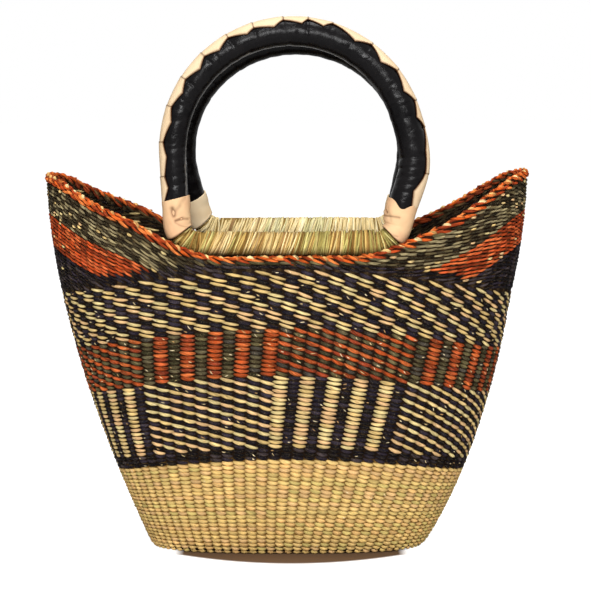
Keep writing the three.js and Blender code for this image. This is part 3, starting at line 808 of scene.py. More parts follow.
STRAND_OUTSIDE = strand_shape(
    "strand outside", sides=6, stations=(-0.42, -0.24, 0, 0.24, 0.42), bow=0.7, sag=0.16, bluntness=0.45,
)
STRAND_FULL = strand_shape(
    "full strand outside", sides=6, stations=(-0.44, -0.26, 0, 0.26, 0.44), bow=0.6, sag=0.1, bluntness=0.32,
)
STRAND_INSIDE = strand_shape(
    "strand inside", sides=5, stations=(-0.38, 0, 0.38), bow=0.75, sag=0.1, bluntness=0.6,
)
FLOAT_DEPTH_SHARE = 0.66
OUTSIDE_SET_IN = 1.5
INSIDE_SET_IN = 5.5
# How far single floats stray from their row, in degrees and millimetres
FLOAT_TURN_SPREAD = 2.2
FLOAT_PLACE_SPREAD = 0.16


def float_frames(columns, edge, set_in, slant, inward):
    """Middle, axes and length of each float of one row."""
    turn, height = on_row(columns, edge)
    middle = wall(turn, height, set_in)
    before = wall(*on_row(columns - 0.5, edge), set_in)
    after = wall(*on_row(columns + 0.5, edge), set_in)
    above = wall(stake_turn(columns, height + 1), height + 1, set_in)
    length = np.linalg.norm(after - before, axis=1)
    along = unit(after - before)
    out = unit(np.cross(along, above - middle))
    up = np.cross(out, along)
    x, _ = swung(along, up, np.radians(np.broadcast_to(slant, length.shape)))
    if inward:
        out, x = -out, -x
    return middle, (x, np.cross(out, x), out), length, up[:, 2], turn, height


def float_row(columns, edge, pitch, colours, rng, slant, stretch, fullness, inward=False):
    """Places of the floats of one row of twining, one over each stake."""
    set_in = INSIDE_SET_IN if inward else OUTSIDE_SET_IN
    wobble = rng.normal(0, FLOAT_TURN_SPREAD, len(columns))
    middle, axes, length, upright, _, _ = float_frames(columns, edge, set_in, slant + wobble, inward)
    middle = middle + axes[2] * rng.normal(0, FLOAT_PLACE_SPREAD, len(columns))[:, None]
    middle = middle + axes[1] * rng.normal(0, FLOAT_PLACE_SPREAD, len(columns))[:, None]
    tall = pitch * upright * fullness
    size = np.stack([length * stretch, tall, tall * FLOAT_DEPTH_SHARE], axis=1)
    return {"at": middle, "turn": quaternions(*axes), "size": size, "dye": colours}


def front_column(columns):
    """Columns counted from the middle of the front, and again from the middle of the back."""
    half = STAKES // 2
    return (columns.astype(int) + half // 2) % half - half // 2


def in_diagonal(column, row):
    return (column + row) % 2 == 0


def block_bars(column):
    """Upright bars of the block band: in the middle and far left."""
    return (column <= -12) | ((column >= -1) & (column <= 8))


def rust_bars(column):
    """Upright bars of the rust and olive band: left and right."""
    return ((column >= -11) & (column <= -2)) | (column >= 9)


def block_pattern(column, row):
    """Tan where true: upright bars, and slanting lines between them."""
    return np.where(block_bars(column), column % 2 == 1, ~in_diagonal(column, row))


def rust_pattern(column, row):
    """Rust where true: upright bars, and slanting lines between them."""
    return np.where(rust_bars(column), column % 2 == 0, in_diagonal(column, row))


def check_pattern(column, row):
    """Tan where true: pairs of floats that step down to the right."""
    return (column + (row + 1) // 2) % 2 == 1


natural_top = band_edge(77.0, 95.04)
lower_navy_top = band_edge(87.96, 106.56)
block_top = band_edge(152.04, 175.97)
rust_olive_top = band_edge(194.94, 220.9)
check_top = band_edge(247.53, 275.04)


def level_edge(height):
    return lambda turn: np.full_like(turn, height)


floor_edge = level_edge(FLOOR_THICKNESS)


def row_edge(lower, upper, share):
    return lambda turn: lower(turn) + (upper(turn) - lower(turn)) * share


def below_rim(drop):
    return lambda turn: rim_top(turn) - drop


ALL_COLUMNS = np.arange(STAKES)


def band_places(band, rng, inward):
    """Floats of a band, row by row from the top."""
    lower, upper, rows = band["lower"], band["upper"], band["rows"]
    made = []
    for row in range(rows):
        edge = row_edge(lower, upper, 1 - (row + 0.5) / rows)
        turn, _ = on_row(ALL_COLUMNS, edge)
        pitch = (upper(turn) - lower(turn)) / rows
        colours, is_light = band["colours"](row, rng, inward)
        made.append(float_row(
            ALL_COLUMNS, edge, pitch, colours, rng, band["slant"](row), band["stretch"](is_light),
            band["fullness"](is_light), inward,
        ))
    return together(made)


def natural_colours():
    """Two strands to a row, each spliced with straw of another hue every few hands' breadths."""
    rng = np.random.default_rng(11)
    spans = {}

    def colour_row(row, _, inward):
        if row not in spans:
            strands = []
            for _strand in range(2):
                hue = np.zeros((STAKES, 3))
                start = 0
                while start < STAKES:
                    stop = min(STAKES, start + int(rng.integers(14, 44)))
                    hue[start:stop] = hues(NATURAL_HUES, rng, 1)[0]
                    start = stop
                strands.append(hue)
            spans[row] = strands
        odd = (ALL_COLUMNS % 2 == 1) != inward
        colour = np.where(odd[:, None], spans[row][0], spans[row][1])
        return colour * rng.uniform(0.92, 1.06, (STAKES, 1)), np.ones(STAKES, bool)

    return colour_row


def one_colour(palette):
    def colour_row(row, rng, inward):
        return hues(palette, rng, STAKES), np.zeros(STAKES, bool)

    return colour_row


def two_colours(pattern, light, dark):
    def colour_row(row, rng, inward):
        is_light = pattern(front_column(ALL_COLUMNS), row) != inward
        colour = np.where(is_light[:, None], hues(light, rng, STAKES), hues(dark, rng, STAKES))
        return colour, is_light

    return colour_row


def even(value):
    return lambda _: value


def by_colour(light, dark):
    return lambda is_light: np.where(is_light, light, dark)


def bar_slant(is_bar, bar_slant_degrees, line_slant_degrees):
    return lambda row: np.where(is_bar(front_column(ALL_COLUMNS)), bar_slant_degrees, line_slant_degrees)


BANDS = [
    {
        "name": "natural_band", "slot": "natural_straw", "finish": natural_straw, "strand": STRAND_FULL,
        "lower": floor_edge, "upper": natural_top, "rows": 21, "colours": natural_colours(),
        "slant": even(-9.0), "stretch": even(1.14), "fullness": even(1.06), "fray_share": 0.03,
    },
    {
        "name": "lower_navy_band", "slot": "navy_straw", "finish": navy_straw, "strand": STRAND_OUTSIDE,
        "lower": natural_top, "upper": lower_navy_top, "rows": 3, "colours": one_colour(NAVY_HUES),
        "slant": even(-10.0), "stretch": even(1.05), "fullness": even(1.0), "fray_share": 0.22,
    },
    {
        "name": "block_band", "slot": "navy_and_tan_straw", "finish": navy_and_tan_straw,
        "strand": STRAND_OUTSIDE, "lower": lower_navy_top, "upper": block_top, "rows": 17,
        "colours": two_colours(block_pattern, TAN_HUES, DARK_HUES),
        "slant": bar_slant(block_bars, -6.0, -18.0), "stretch": by_colour(1.3, 1.02),
        "fullness": by_colour(0.9, 0.92), "fray_share": 0.22,
    },
    {
        "name": "rust_olive_band", "slot": "rust_and_olive_straw", "finish": rust_and_olive_straw,
        "strand": STRAND_OUTSIDE, "lower": block_top, "upper": rust_olive_top, "rows": 11,
        "colours": two_colours(rust_pattern, RUST_HUES, OLIVE_HUES),
        "slant": bar_slant(rust_bars, -7.0, -18.0), "stretch": by_colour(1.22, 1.0),
        "fullness": by_colour(0.96, 0.92), "fray_share": 0.22,
    },
    {
        "name": "check_band", "slot": "navy_and_tan_straw", "finish": navy_and_tan_straw,
        "strand": STRAND_OUTSIDE, "lower": rust_olive_top, "upper": check_top, "rows": 13,
        "colours": two_colours(check_pattern, TAN_HUES, DARK_HUES), "slant": even(-15.0),
        "stretch": by_colour(1.3, 1.02), "fullness": by_colour(0.74, 0.92), "fray_share": 0.22,
    },
]


def dress(piece, body, slot, *nodes, finish=None):
    """Tells the frame whose body a piece rides on, gives it its finish and hides the nodes it stands for;
    the slot is not used.
    """
    if finish:
        piece.data.materials.append(finish)
    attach(piece, body)
    if nodes:
        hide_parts(*nodes)


def add_frays(places, rng, share):
    """Short pale hairs that stand out of some of the floats."""
    chosen = np.flatnonzero(rng.random(len(places["at"])) < share)
    count = len(chosen)
    w, x, y, z = places["turn"][chosen].T
    ahead = np.stack([1 - 2 * (y * y + z * z), 2 * (x * y + w * z), 2 * (x * z - w * y)], axis=1)
    out = np.stack([2 * (x * z + w * y), 2 * (y * z - w * x), 1 - 2 * (x * x + y * y)], axis=1)
    half = rng.uniform(-0.9, 0.5, count) / 2
    c, s = np.cos(half), np.sin(half)
    size = places["size"][chosen]
    slid = rng.uniform(-0.3, 0.3, (count, 1))
    length = rng.uniform(0.2, 0.38, count)
    girth = rng.uniform(0.16, 0.26, count)
    frays = {
        "at": places["at"][chosen] + out * size[:, 2:] * 0.46 + ahead * size[:, :1] * slid,
        "turn": np.stack([w * c - z * s, x * c + y * s, y * c - x * s, w * s + z * c], axis=1),
        "size": size * np.stack([length, girth, girth], axis=1),
        "dye": hues(FRAY_HUES, rng, count),
    }
    return together([places, frays])


def weave_bands():
    for number, band in enumerate(BANDS):
        rng = np.random.default_rng(100 + number)
        outside = band_places(band, rng, False)
        inside = band_places(band, rng, True)
        outside = add_frays(outside, rng, band["fray_share"])
        for face, strand, places, seed in (
            ("outside", band["strand"], outside, 7 + number),
            ("inside", STRAND_INSIDE, inside, 57 + number),
        ):
            piece = set_strands(f"{band['name']}_{face}", strand, band["finish"], places, seed)
            dress(piece, "basket", band["slot"], band["name"])


weave_bands()


# Stakes, base, wings and rim

STEPS_PER_STAKE = 4
STAKE_LOOPS = 56
STAKES_BELOW_RIM = 4.0
# Depths of the stakes' outer and inner faces between two stakes, and how far a stake stands out there
STAKE_OUTER_DEPTH = 3.3
STAKE_INNER_DEPTH = 3.7
STAKE_RELIEF = 1.6


def stake_shell():
    """The upright stakes, seen as small specks between the floats of the weave; between the stakes the
    closed shell is coloured as painted shade.
    """
    columns = np.arange(STAKES * STEPS_PER_STAKE) / STEPS_PER_STAKE
    rib = np.cos(math.pi * (columns - np.round(columns))) ** 2
    top = below_rim(STAKES_BELOW_RIM)
    loops = [on_row(columns, row_edge(floor_edge, top, share)) for share in np.linspace(0, 1, STAKE_LOOPS)]
    outside = [wall(turn, height, STAKE_OUTER_DEPTH - STAKE_RELIEF * rib) for turn, height in loops]
    inside = [wall(turn, height, STAKE_INNER_DEPTH + STAKE_RELIEF * rib) for turn, height in reversed(loops)]
    grid = np.stack(outside + inside, axis=1)
    shell = skinned("stakes", grid, ring_along=True)
    undyed = np.array([height < natural_top(turn) for turn, height in loops])
    undyed = np.concatenate([undyed, undyed[::-1]])
    mark_points(shell.data, "rib", np.repeat(rib, grid.shape[1]))
    mark_points(shell.data, "undyed", undyed.T)
    dress(shell, "basket", "natural_straw", finish=stake_straw)


def level_ring(half_long, half_deep, count, phase):
    """Points and directions evenly round a level oval."""
    shares = np.linspace(0, 1, 60)
    x, y = quarter_outline(half_long, half_deep, shares)
    loop_x = np.concatenate([x, x[::-1][1:], -x[1:], -x[::-1][1:-1]])
    loop_y = np.concatenate([-y, y[::-1][1:], y[1:], -y[::-1][1:-1]])
    loop = np.stack([loop_x, loop_y], axis=1)
    closed = np.concatenate([loop, loop[:1]])
    travelled = np.concatenate([[0], np.cumsum(np.linalg.norm(np.diff(closed, axis=0), axis=1))])
    wanted = ((np.arange(count) + phase) / count % 1) * travelled[-1]
    ahead = (wanted + 0.5) % travelled[-1]
    at = np.stack([np.interp(wanted, travelled, closed[:, i]) for i in (0, 1)], axis=1)
    to = np.stack([np.interp(ahead, travelled, closed[:, i]) for i in (0, 1)], axis=1)
    return at, unit(to - at), travelled[-1] / count


BASE_RINGS = 13
BASE_FLOAT_LENGTH = 12
BASE_FLOAT_STRETCH = 1.14
BASE_FLOAT_HEIGHT = 4.3
BASE_FLOAT_DEPTH = 2.8
# Half length and half depth of the base's rows at its middle, and what they gain up to its edge
BASE_INNER_HALVES = (70, 2)
BASE_HALVES_GAIN = (57.5, 53)
# Girth of a row as a share of the rectangle round it
OVAL_SHARE = 0.86
# Height in millimetres and facing of the rows on the two faces of the base
BASE_FACES = ((1.5, -1), (5.4, 1))
# Height, half length and half depth of each loop of the slab inside the base
BASE_SLAB_LOOPS = ((2.4, 127, 54), (2.2, 129, 56), (4.8, 129, 56), (4.6, 127, 54))
BASE_SLAB_STEPS = 120
# Height and set-in of the two rows round the edge of the base
BASE_EDGE_ROWS = ((5.1, 1.7), (1.9, 3.0))


def base_ring(ring, rng):
    """One oval row of the base, on both of its faces."""
    share = (ring + 0.6) / BASE_RINGS
    half_long, half_deep = (
        inner + gain * share for inner, gain in zip(BASE_INNER_HALVES, BASE_HALVES_GAIN)
    )
    girth = 4 * (half_long + half_deep) * OVAL_SHARE
    count = int(girth / BASE_FLOAT_LENGTH)
    hue = hues(NATURAL_HUES, rng, 1)[0]
    made = []
    for height, up in BASE_FACES:
        phase = 0.5 * (ring % 2) + 0.25 * (up > 0)
        at, ahead, spacing = level_ring(half_long, half_deep, count, phase)
        along = np.column_stack([ahead, np.zeros(count)])
        out = np.tile([0.0, 0.0, float(up)], (count, 1))
        made.append({
            "at": np.column_stack([at, np.full(count, height)]),
            "turn": quaternions(along, np.cross(out, along), out),
            "size": np.tile([spacing * BASE_FLOAT_STRETCH, BASE_FLOAT_HEIGHT, BASE_FLOAT_DEPTH], (count, 1)),
            "dye": hue * rng.uniform(0.9, 1.06, (count, 1)),
        })
    return together(made)


def weave_base():
    """Rows of the base, laid round and round in ovals on its two faces, and two rows round its edge."""
    rng = np.random.default_rng(31)
    rings = together([base_ring(ring, rng) for ring in range(BASE_RINGS)])
    base = set_strands("base_weave_rows", STRAND_INSIDE, natural_straw, rings, 41)
    dress(base, "basket", "natural_straw", "base_weave")
    loops = []
    for height, half_long, half_deep in BASE_SLAB_LOOPS:
        at, _, _ = level_ring(half_long, half_deep, BASE_SLAB_STEPS, 0)
        loops.append(np.column_stack([at, np.full(BASE_SLAB_STEPS, height)]))
    slab = skinned("base_stakes", np.array(loops))
    # The slab takes the colour from between the stakes: near-black painted shade seen between the floats of
    # the base
    mark_points(slab.data, "rib", np.full(len(slab.data.vertices), 0.5))
    dress(slab, "basket", "natural_straw", finish=stake_straw)
    edge_rows = []
    for height, set_in in BASE_EDGE_ROWS:
        level = level_edge(height)
        colours = hues(NATURAL_HUES, rng, STAKES)
        row = float_row(ALL_COLUMNS, level, 3.7, colours, rng, slant=-8.0, stretch=1.15, fullness=1.08)
        row["at"] = wall(*on_row(ALL_COLUMNS, level), set_in)
        edge_rows.append(row)
    edge = set_strands("base_weave_edge", STRAND_OUTSIDE, natural_straw, together(edge_rows), 43)
    dress(edge, "basket", "natural_straw", "base_weave")


# The rows that lie on the check band are navy up to this height
FIRST_ROWS_HEIGHT = 9.0
# The wings have more stakes than the wall below them
WING_COLUMNS = np.arange(0, STAKES, 0.625)
# A row ends where it lies less than this above the check band
LEAST_ROW_HEIGHT = 1.2
# Pale straws in the wings: their share in olive rows and in others, and the length of their floats
OLIVE_SPECK_SHARE = 0.09
OTHER_SPECK_SHARE = 0.02
SPECK_STRETCH = 0.5
WING_STRETCH = 0.98
WING_FULLNESS = 0.76
# The lowest rows of the rust stripe are navy already, over this height
EARLY_NAVY_HEIGHT = 3
WING_NAVY_DROP = 111.5


def wing_slant(turn, falling, rising):
    """Slant of the floats where the rows fall towards the next stake and where they rise."""
    return np.where((2 * turn) % 1 > 0.5, falling, rising)


def short_row(drop, pitch, palette, rng, right, inward):
    """One row that ends where it meets the check band; right picks the wing, None means all round."""
    edge = below_rim(drop)
    turn, height = on_row(WING_COLUMNS, edge)
    above = height - check_top(turn)
    kept = above > LEAST_ROW_HEIGHT
    if right is not None:
        kept &= (turn % 1 < 0.5) == right
    columns = WING_COLUMNS[kept]
    if not len(columns):
        return None
    colour = hues(palette, rng, len(columns))
    first = above[kept] < FIRST_ROWS_HEIGHT
    colour[first] = hues(NAVY_HUES, rng, int(first.sum()))
    share = OLIVE_SPECK_SHARE if palette is WING_OLIVE_HUES else OTHER_SPECK_SHARE
    speck = rng.random(len(columns)) < share
    colour[speck] = hues(TAN_HUES, rng, int(speck.sum()))
    stretch = np.where(speck, SPECK_STRETCH, WING_STRETCH)
    slant = wing_slant(turn[kept], falling=-8.0, rising=-17.0)
    return float_row(columns, edge, pitch, colour, rng, slant, stretch, WING_FULLNESS, inward)


def stripe_hues(drop):
    """Colours of a wing's row by how far it lies below the top of the rim."""
    if drop < WING_OLIVE_DROP:
        return WING_OLIVE_HUES
    return WING_RUST_HUES if drop < WING_RUST_DROP - EARLY_NAVY_HEIGHT else NAVY_HUES


def weave_stripe(name, slot, finish, top_drop, bottom_drop, rows, right, seed):
    """Short rows of one stripe, between two drops below the top of the rim."""
    rng = np.random.default_rng(seed)
    pitch = (bottom_drop - top_drop) / rows
    for side, strand, inward in (("outside", STRAND_OUTSIDE, False), ("inside", STRAND_INSIDE, True)):
        made = []
        for row in range(rows):
            drop = top_drop + (row + 0.5) * pitch
            shown = INSIDE_HUES if inward else stripe_hues(drop)
            found = short_row(drop, pitch, shown, rng, right, inward)
            if found:
                made.append(found)
        stripe = set_strands(f"{name}_{side}", strand, finish, together(made), seed)
        dress(stripe, "basket", slot, name)


def weave_wings():
    weave_stripe("upper_rows", "olive_straw", olive_straw, BRAID_DIAMETER, UPPER_ROWS_DROP, 2, None, 60)
    stripes = (
        ("olive", olive_straw, UPPER_ROWS_DROP, WING_OLIVE_DROP, 7),
        ("rust", rust_straw, WING_OLIVE_DROP, WING_RUST_DROP, 10),
        ("navy", navy_straw, WING_RUST_DROP, WING_NAVY_DROP, 12),
    )
    for side, right, first_seed in (("right", True, 62), ("left", False, 66)):
        for seed, (hue, finish, top_drop, bottom_drop, rows) in enumerate(stripes, first_seed):
            name = f"{side}_wing_{hue}"
            weave_stripe(name, f"{hue}_straw", finish, top_drop, bottom_drop, rows, right, seed)


def rim_line(columns, drop, set_in, slant, face, size, palette, rng):
    """One line of the plaited border, on its outside, top or inside face."""
    inward = face == "inside"
    wobble = rng.normal(0, 6, len(columns))
    middle, axes, length, _, turn, _ = float_frames(columns, below_rim(drop), set_in, 0.0, inward)
    slant = slant + wing_slant(turn, falling=8.0, rising=-4.0)
    x, y, out = axes
    if face == "top":
        y, out = -out, y
    x, y = swung(x, y, np.radians(slant + wobble))
    stretch, tall, deep = size
    sizes = np.stack([length * stretch, np.full(len(columns), tall), np.full(len(columns), deep)], axis=1)
    return {
        "at": middle + rng.normal(0, 0.25, (len(columns), 3)),
        "turn": quaternions(x, y, out),
        "size": sizes,
        "dye": hues(palette, rng, len(columns)),
    }


RIM_CORE_STEPS = 264
RIM_CORE_SIDES = 10
RIM_CORE_DROP = 4.0
RIM_CORE_SET_IN = 3.5
RIM_CORE_HALF_HEIGHT = 2.7
RIM_CORE_HALF_DEPTH = 2.6
# Columns from the middle of a long side over which the rim's lowest line is olive
OLIVE_RIM_COLUMNS = 9


def plait_rim():
    """Plaited border, as lines of floats that cross over a hidden core; the core's near-black colour is
    painted shade where it shows between them.
    """
    rng = np.random.default_rng(80)
    half = ALL_COLUMNS + 0.5
    away = np.abs(front_column(ALL_COLUMNS))
    middle_columns = ALL_COLUMNS[away < OLIVE_RIM_COLUMNS]
    side_columns = ALL_COLUMNS[away >= OLIVE_RIM_COLUMNS]
    # Columns, drop below the rim, set-in, slant, face, then length, height and depth of a float
    lines = [
        rim_line(ALL_COLUMNS, 1.8, 1.0, -16, "outside", (1.16, 3.0, 3.2), RIM_RUST, rng),
        rim_line(half, 3.8, 0.8, -18, "outside", (1.2, 2.9, 3.2), RIM_RUST, rng),
        rim_line(side_columns, 5.9, 1.0, -15, "outside", (1.1, 2.6, 2.8), RIM_RUST, rng),
        rim_line(middle_columns + 0.5, 5.9, 1.0, -17, "outside", (1.2, 3.4, 3.0), OLIVE_HUES, rng),
        rim_line(ALL_COLUMNS, 0.8, 2.4, -22, "top", (0.74, 4.0, 4.2), RIM_CREAM, rng),
        rim_line(half, 0.9, 4.4, -14, "top", (1.0, 3.2, 3.2), RIM_RUST, rng),
        rim_line(ALL_COLUMNS, 2.2, 6.2, -14, "inside", (1.15, 2.8, 3.2), RIM_RUST, rng),
        rim_line(half, 4.2, 6.3, -16, "inside", (1.15, 2.8, 3.2), RIM_INNER, rng),
        rim_line(half, 6.3, 6.2, -14, "inside", (1.15, 3.0, 3.2), RIM_INNER, rng),
    ]
    braid = set_strands("rim_braid_strands", STRAND_FULL, rust_straw, together(lines), 81)
    dress(braid, "basket", "rust_straw", "rim_braid")
    turns = np.arange(RIM_CORE_STEPS) / RIM_CORE_STEPS
    loops = []
    for angle in np.linspace(0, 2 * math.pi, RIM_CORE_SIDES, endpoint=False):
        height = rim_top(turns) - RIM_CORE_DROP + RIM_CORE_HALF_HEIGHT * math.sin(angle)
        loops.append(wall(turns, height, RIM_CORE_SET_IN + RIM_CORE_HALF_DEPTH * math.cos(angle)))
    core = skinned("rim_core", np.stack(loops, axis=1), ring_along=True, u_span=RIM_CORE_STEPS)
    dress(core, "basket", "grass_core", "rim_braid", finish=rim_core_straw)


stake_shell()
weave_base()
weave_wings()
plait_rim()


# Handles

CORNER_STEPS = 40
ARCH_STEPS = 400
LEG_STEPS = 31


def ring_path(ring):
    """Centre line of a handle's ring as closely spaced knots: distance, across, up, facing."""
    corner = RING_CORNER_RADIUS
    arch_radius = ring["arch"]
    reach = ring["foot"] - corner
    arch = np.array([ring["arch_shift"], ring["arch_height"]])
    right = np.array([ring["foot_shift"] + reach, corner])
    left = np.array([ring["foot_shift"] - reach, corner])

    def leg_facing(centre, side):
        to_arch = arch - centre
        turn = math.acos((corner - arch_radius) / np.hypot(*to_arch))
        return math.atan2(to_arch[1], to_arch[0]) + side * turn

    def arc(centre, radius, start, end, steps):
        facing = np.linspace(start, end, steps)
        return np.column_stack([
            centre[0] + radius * np.cos(facing), centre[1] + radius * np.sin(facing), facing,
        ])

    down = -math.pi / 2
    right_facing, left_facing = leg_facing(right, -1), leg_facing(left, 1)
    first = np.array([[left[0], left[1] - corner, down]])
    right_arc = arc(right, corner, down, right_facing, CORNER_STEPS)
    over = arc(arch, arch_radius, right_facing, left_facing, ARCH_STEPS)
    left_arc = arc(left, corner, left_facing, 3 * math.pi / 2, CORNER_STEPS)
    leg_steps = np.linspace(0, 1, LEG_STEPS)[1:-1, None]
    right_leg = right_arc[-1] + leg_steps * (over[0] - right_arc[-1])
    left_leg = over[-1] + leg_steps * (left_arc[0] - over[-1])
    knots = np.concatenate([first, right_arc, right_leg, over, left_leg, left_arc])
    steps = np.hypot(np.diff(knots[:, 0]), np.diff(knots[:, 1]))
    distance = np.concatenate([[0], np.cumsum(steps)])
    legs_start, legs_end = distance[CORNER_STEPS], distance[-CORNER_STEPS]
    bowed = np.clip((distance - legs_start) / LEG_BOW_LENGTH, 0, 1)
    bow = ring["bow"] * np.sin(math.pi * bowed) ** 2
    gripped = np.clip((distance - legs_start) / (legs_end - legs_start), 0, 1)
    fullness = ring["fullness"] * np.sin(math.pi * gripped ** GRIP_FULLNESS_POWER)
    knots[:, 0] += (bow - fullness) * np.cos(knots[:, 2])
    knots[:, 1] += (bow - fullness) * np.sin(knots[:, 2])
    return {
        "distance": distance,
        "knots": np.column_stack([knots, fullness]),
        "cuff_top": ring["cuff_top"],
        "bar": distance[1],
        "corner": legs_start - distance[1],
        "length": distance[-1],
    }


def ring_points(handle, distance, radius, turn):
    """Points on the handle's round section, turned from the outer ridge towards the back."""
    distance, radius, turn = np.broadcast_arrays(
        np.asarray(distance, float), np.asarray(radius, float), np.asarray(turn, float)
    )
    path = handle["path"]
    across, up, facing, fullness = (
        np.interp(distance, path["distance"], path["knots"][:, i]) for i in range(4)
    )
    full_radius = radius + fullness
    reach = full_radius * np.cos(turn)
    x = across + reach * np.cos(facing)
    y = full_radius * np.sin(turn)
    z = up + reach * np.sin(facing)
    lean = math.radians(handle["lean"])
    return np.stack([
        x,
        handle["offset"] + y * math.cos(lean) - z * math.sin(lean),
        BAR_AXIS_HEIGHT + y * math.sin(lean) + z * math.cos(lean),
    ], axis=-1)


# Roll: how much thicker the bar's lashing is at its two ends. Corner straw: how far the whipping
# stands out. Shade: share of browner straws.
HANDLES = [
    {
        "name": "front", "body": "front_handle", "offset": -BAR_OFFSET, "lean": FRONT_LEAN, "seed": 90,
        "path": ring_path(FRONT_RING), "roll": 1.6, "corner_straw": 1.35, "shade": 0.4,
    },
    {
        "name": "back", "body": "back_handle", "offset": BAR_OFFSET, "lean": BACK_LEAN, "seed": 95,
        "path": ring_path(BACK_RING), "roll": -0.8, "corner_straw": 0.9, "shade": 0.04,
    },
]


def sleeve(name, handle, start, end, inner_radius, outer_radius, sides, steps):
    """Hollow sleeve on the ring. Start, end and outer radius may change round it."""
    rows = []
    for turn in np.linspace(0, 2 * math.pi, sides, endpoint=False):
        first, last = start(turn), end(turn)
        there = np.linspace(first, last, steps)
        back = np.linspace(last, first, steps // 2)
        outer = ring_points(handle, there, outer_radius(there, turn), turn)
        inner = ring_points(handle, back, inner_radius, turn)
        rows.append(np.concatenate([outer, inner]))
    return skinned(name, np.array(rows), ring_along=True)


# The camera in millimetres and degrees, and its picture in pixels of the photograph
CAMERA_PLACE = np.array([8.2, -3000.0, 610.0])
CAMERA_PITCH = 7.05
PHOTO_FOCAL = 3141.5
PHOTO_CENTRE = (295.5, 298.0)


def seen_at(points):
    """Pixel of the photograph where the camera sees a point."""
    pitch = math.radians(CAMERA_PITCH)
    x, y, z = np.moveaxis(points - CAMERA_PLACE, -1, 0)
    depth = y * math.cos(pitch) - z * math.sin(pitch)
    rise = y * math.sin(pitch) + z * math.cos(pitch)
    return PHOTO_CENTRE[0] + PHOTO_FOCAL * x / depth, PHOTO_CENTRE[1] - PHOTO_FOCAL * rise / depth


# Places on a handle that are tried for a pixel: how many along it, and the degrees round it
TRIED_STATIONS = 1300
TRIED_DEGREES = np.linspace(-172, -8, 83)


def on_front_of(handle, pixels, radius):
    """Distance and turn on the camera's side of a handle that are seen at each pixel."""
    distance = np.linspace(handle["path"]["bar"], handle["path"]["length"], TRIED_STATIONS)[:, None]
    turn = np.radians(TRIED_DEGREES)[None, :]
    px, py = seen_at(ring_points(handle, distance, radius, turn))
    found = []
    for x, y in pixels:
        i, j = np.unravel_index(np.argmin((px - x) ** 2 + (py - y) ** 2), px.shape)
        found.append((distance[i, 0], turn[0, j]))
    return np.array(found)


# Corners of the front lace's toothed edge, from the right cuff over the arch to the left one
LACE_EDGE_PIXELS = [
    (411.7, 204.8), (413.2, 191.3), (424.9, 173.3), (425.3, 150.0), (424.1, 127.0), (416.3, 117.3),
    (414.4, 100.7), (403.3, 91.4), (396.4, 70.6), (380.2, 62.3), (371.4, 45.2), (354.8, 41.5), (333.0, 24.3),
    (323.3, 26.5), (308.0, 19.7), (302.0, 23.9), (283.1, 20.4), (274.3, 27.4), (254.0, 28.5), (247.5, 34.5),
    (228.1, 38.2), (219.8, 50.7), (205.0, 56.7), (200.8, 69.2), (186.0, 79.4), (183.2, 93.3), (171.7, 107.1),
    (171.7, 122.4), (163.6, 142.0), (167.2, 156.8), (165.1, 176.4), (168.6, 188.3), (165.4, 200.8),
]
# The painted highlight line that runs along the front grip, in the same direction
HIGHLIGHT_LINE_PIXELS = [
    (358.5, 72.9), (341.8, 61.8), (327, 54.4), (312, 50.2), (301, 47.5), (286.4, 46.1), (270.6, 50.2),
    (266, 48.9), (253, 54.4), (249.4, 53.5), (235.5, 63.7), (219.8, 75.7), (205.4, 95.6), (198.5, 103.4),
    (195.7, 112.7), (191, 125.6), (188.2, 135), (185.8, 156), (185.1, 166.6), (186.5, 177), (186.1, 194.6),
]

# Radii, heights and drops in millimetres; sides and steps count the points of a mesh
GRIP_RADIUS = 11.5
GRIP_SIDES = 64
GRIP_STEPS = 420
HIGHLIGHT_LINE_SPREAD = 0.07
LACE_INNER_RADIUS = 11.9
LACE_OUTER_RADIUS = 13.7
CUFF_INNER_RADIUS = 11.8
CUFF_OUTER_RADIUS = 13.2
CORE_RADIUS = 9.3
WHIPPING_DEGREES = 55.0
# The front right corner's whipping ends lower, as in the photograph
FRONT_RIGHT_WHIPPING_DEGREES = 46.0
LEATHER_START_DEGREES = 57.0
CUFF_START_DEGREES = 62.0
CUFF_DROPS = {"front_right": 5.0, "front_left": 1.5, "back_right": 1.5, "back_left": 3.6}
CUFF_SIDES = 96
CUFF_STEPS = 70
# Painted shade on a cuff: its dark bottom edge as a share of its length, the crease depth that gets the
# darkest shade, and that darkest shade
CUFF_DARK_EDGE = 0.032
CUFF_FULL_SHADOW_DEPTH = 1.9
CUFF_DEEPEST_SHADOW = 0.7
LASHING_RADIUS = 11.2
LASHING_STRAW_RADIUS = 0.86
LASHING_PITCH = 1.5


def along_corner(degrees):
    return RING_CORNER_RADIUS * math.radians(degrees)


def cuff_top(handle):
    return handle["path"]["corner"] + handle["path"]["cuff_top"] - RING_CORNER_RADIUS


def angle_apart(turn, other):
    return np.abs((turn - other + math.pi) % (2 * math.pi) - math.pi)


def creases(rng, count, start, end, depth):
    """Small random creases across a handle: where, how wide and how deep."""
    made = []
    for _ in range(count):
        place = rng.uniform(start, end)
        facing = rng.uniform(-math.pi, math.pi)
        wide = rng.uniform(0.7, 1.8)
        spread = rng.uniform(0.25, 0.8)
        made.append((place, facing, wide, spread, rng.uniform(0.4, 1.0) * depth))
    return made


def creased(distance, turn, marks):
    sunk = np.zeros(np.broadcast(distance, turn).shape)
    for place, facing, wide, spread, depth in marks:
        near = np.exp(-((distance - place) / wide) ** 2 - (angle_apart(turn, facing) / spread) ** 2)
        sunk = sunk + depth * near
    return sunk


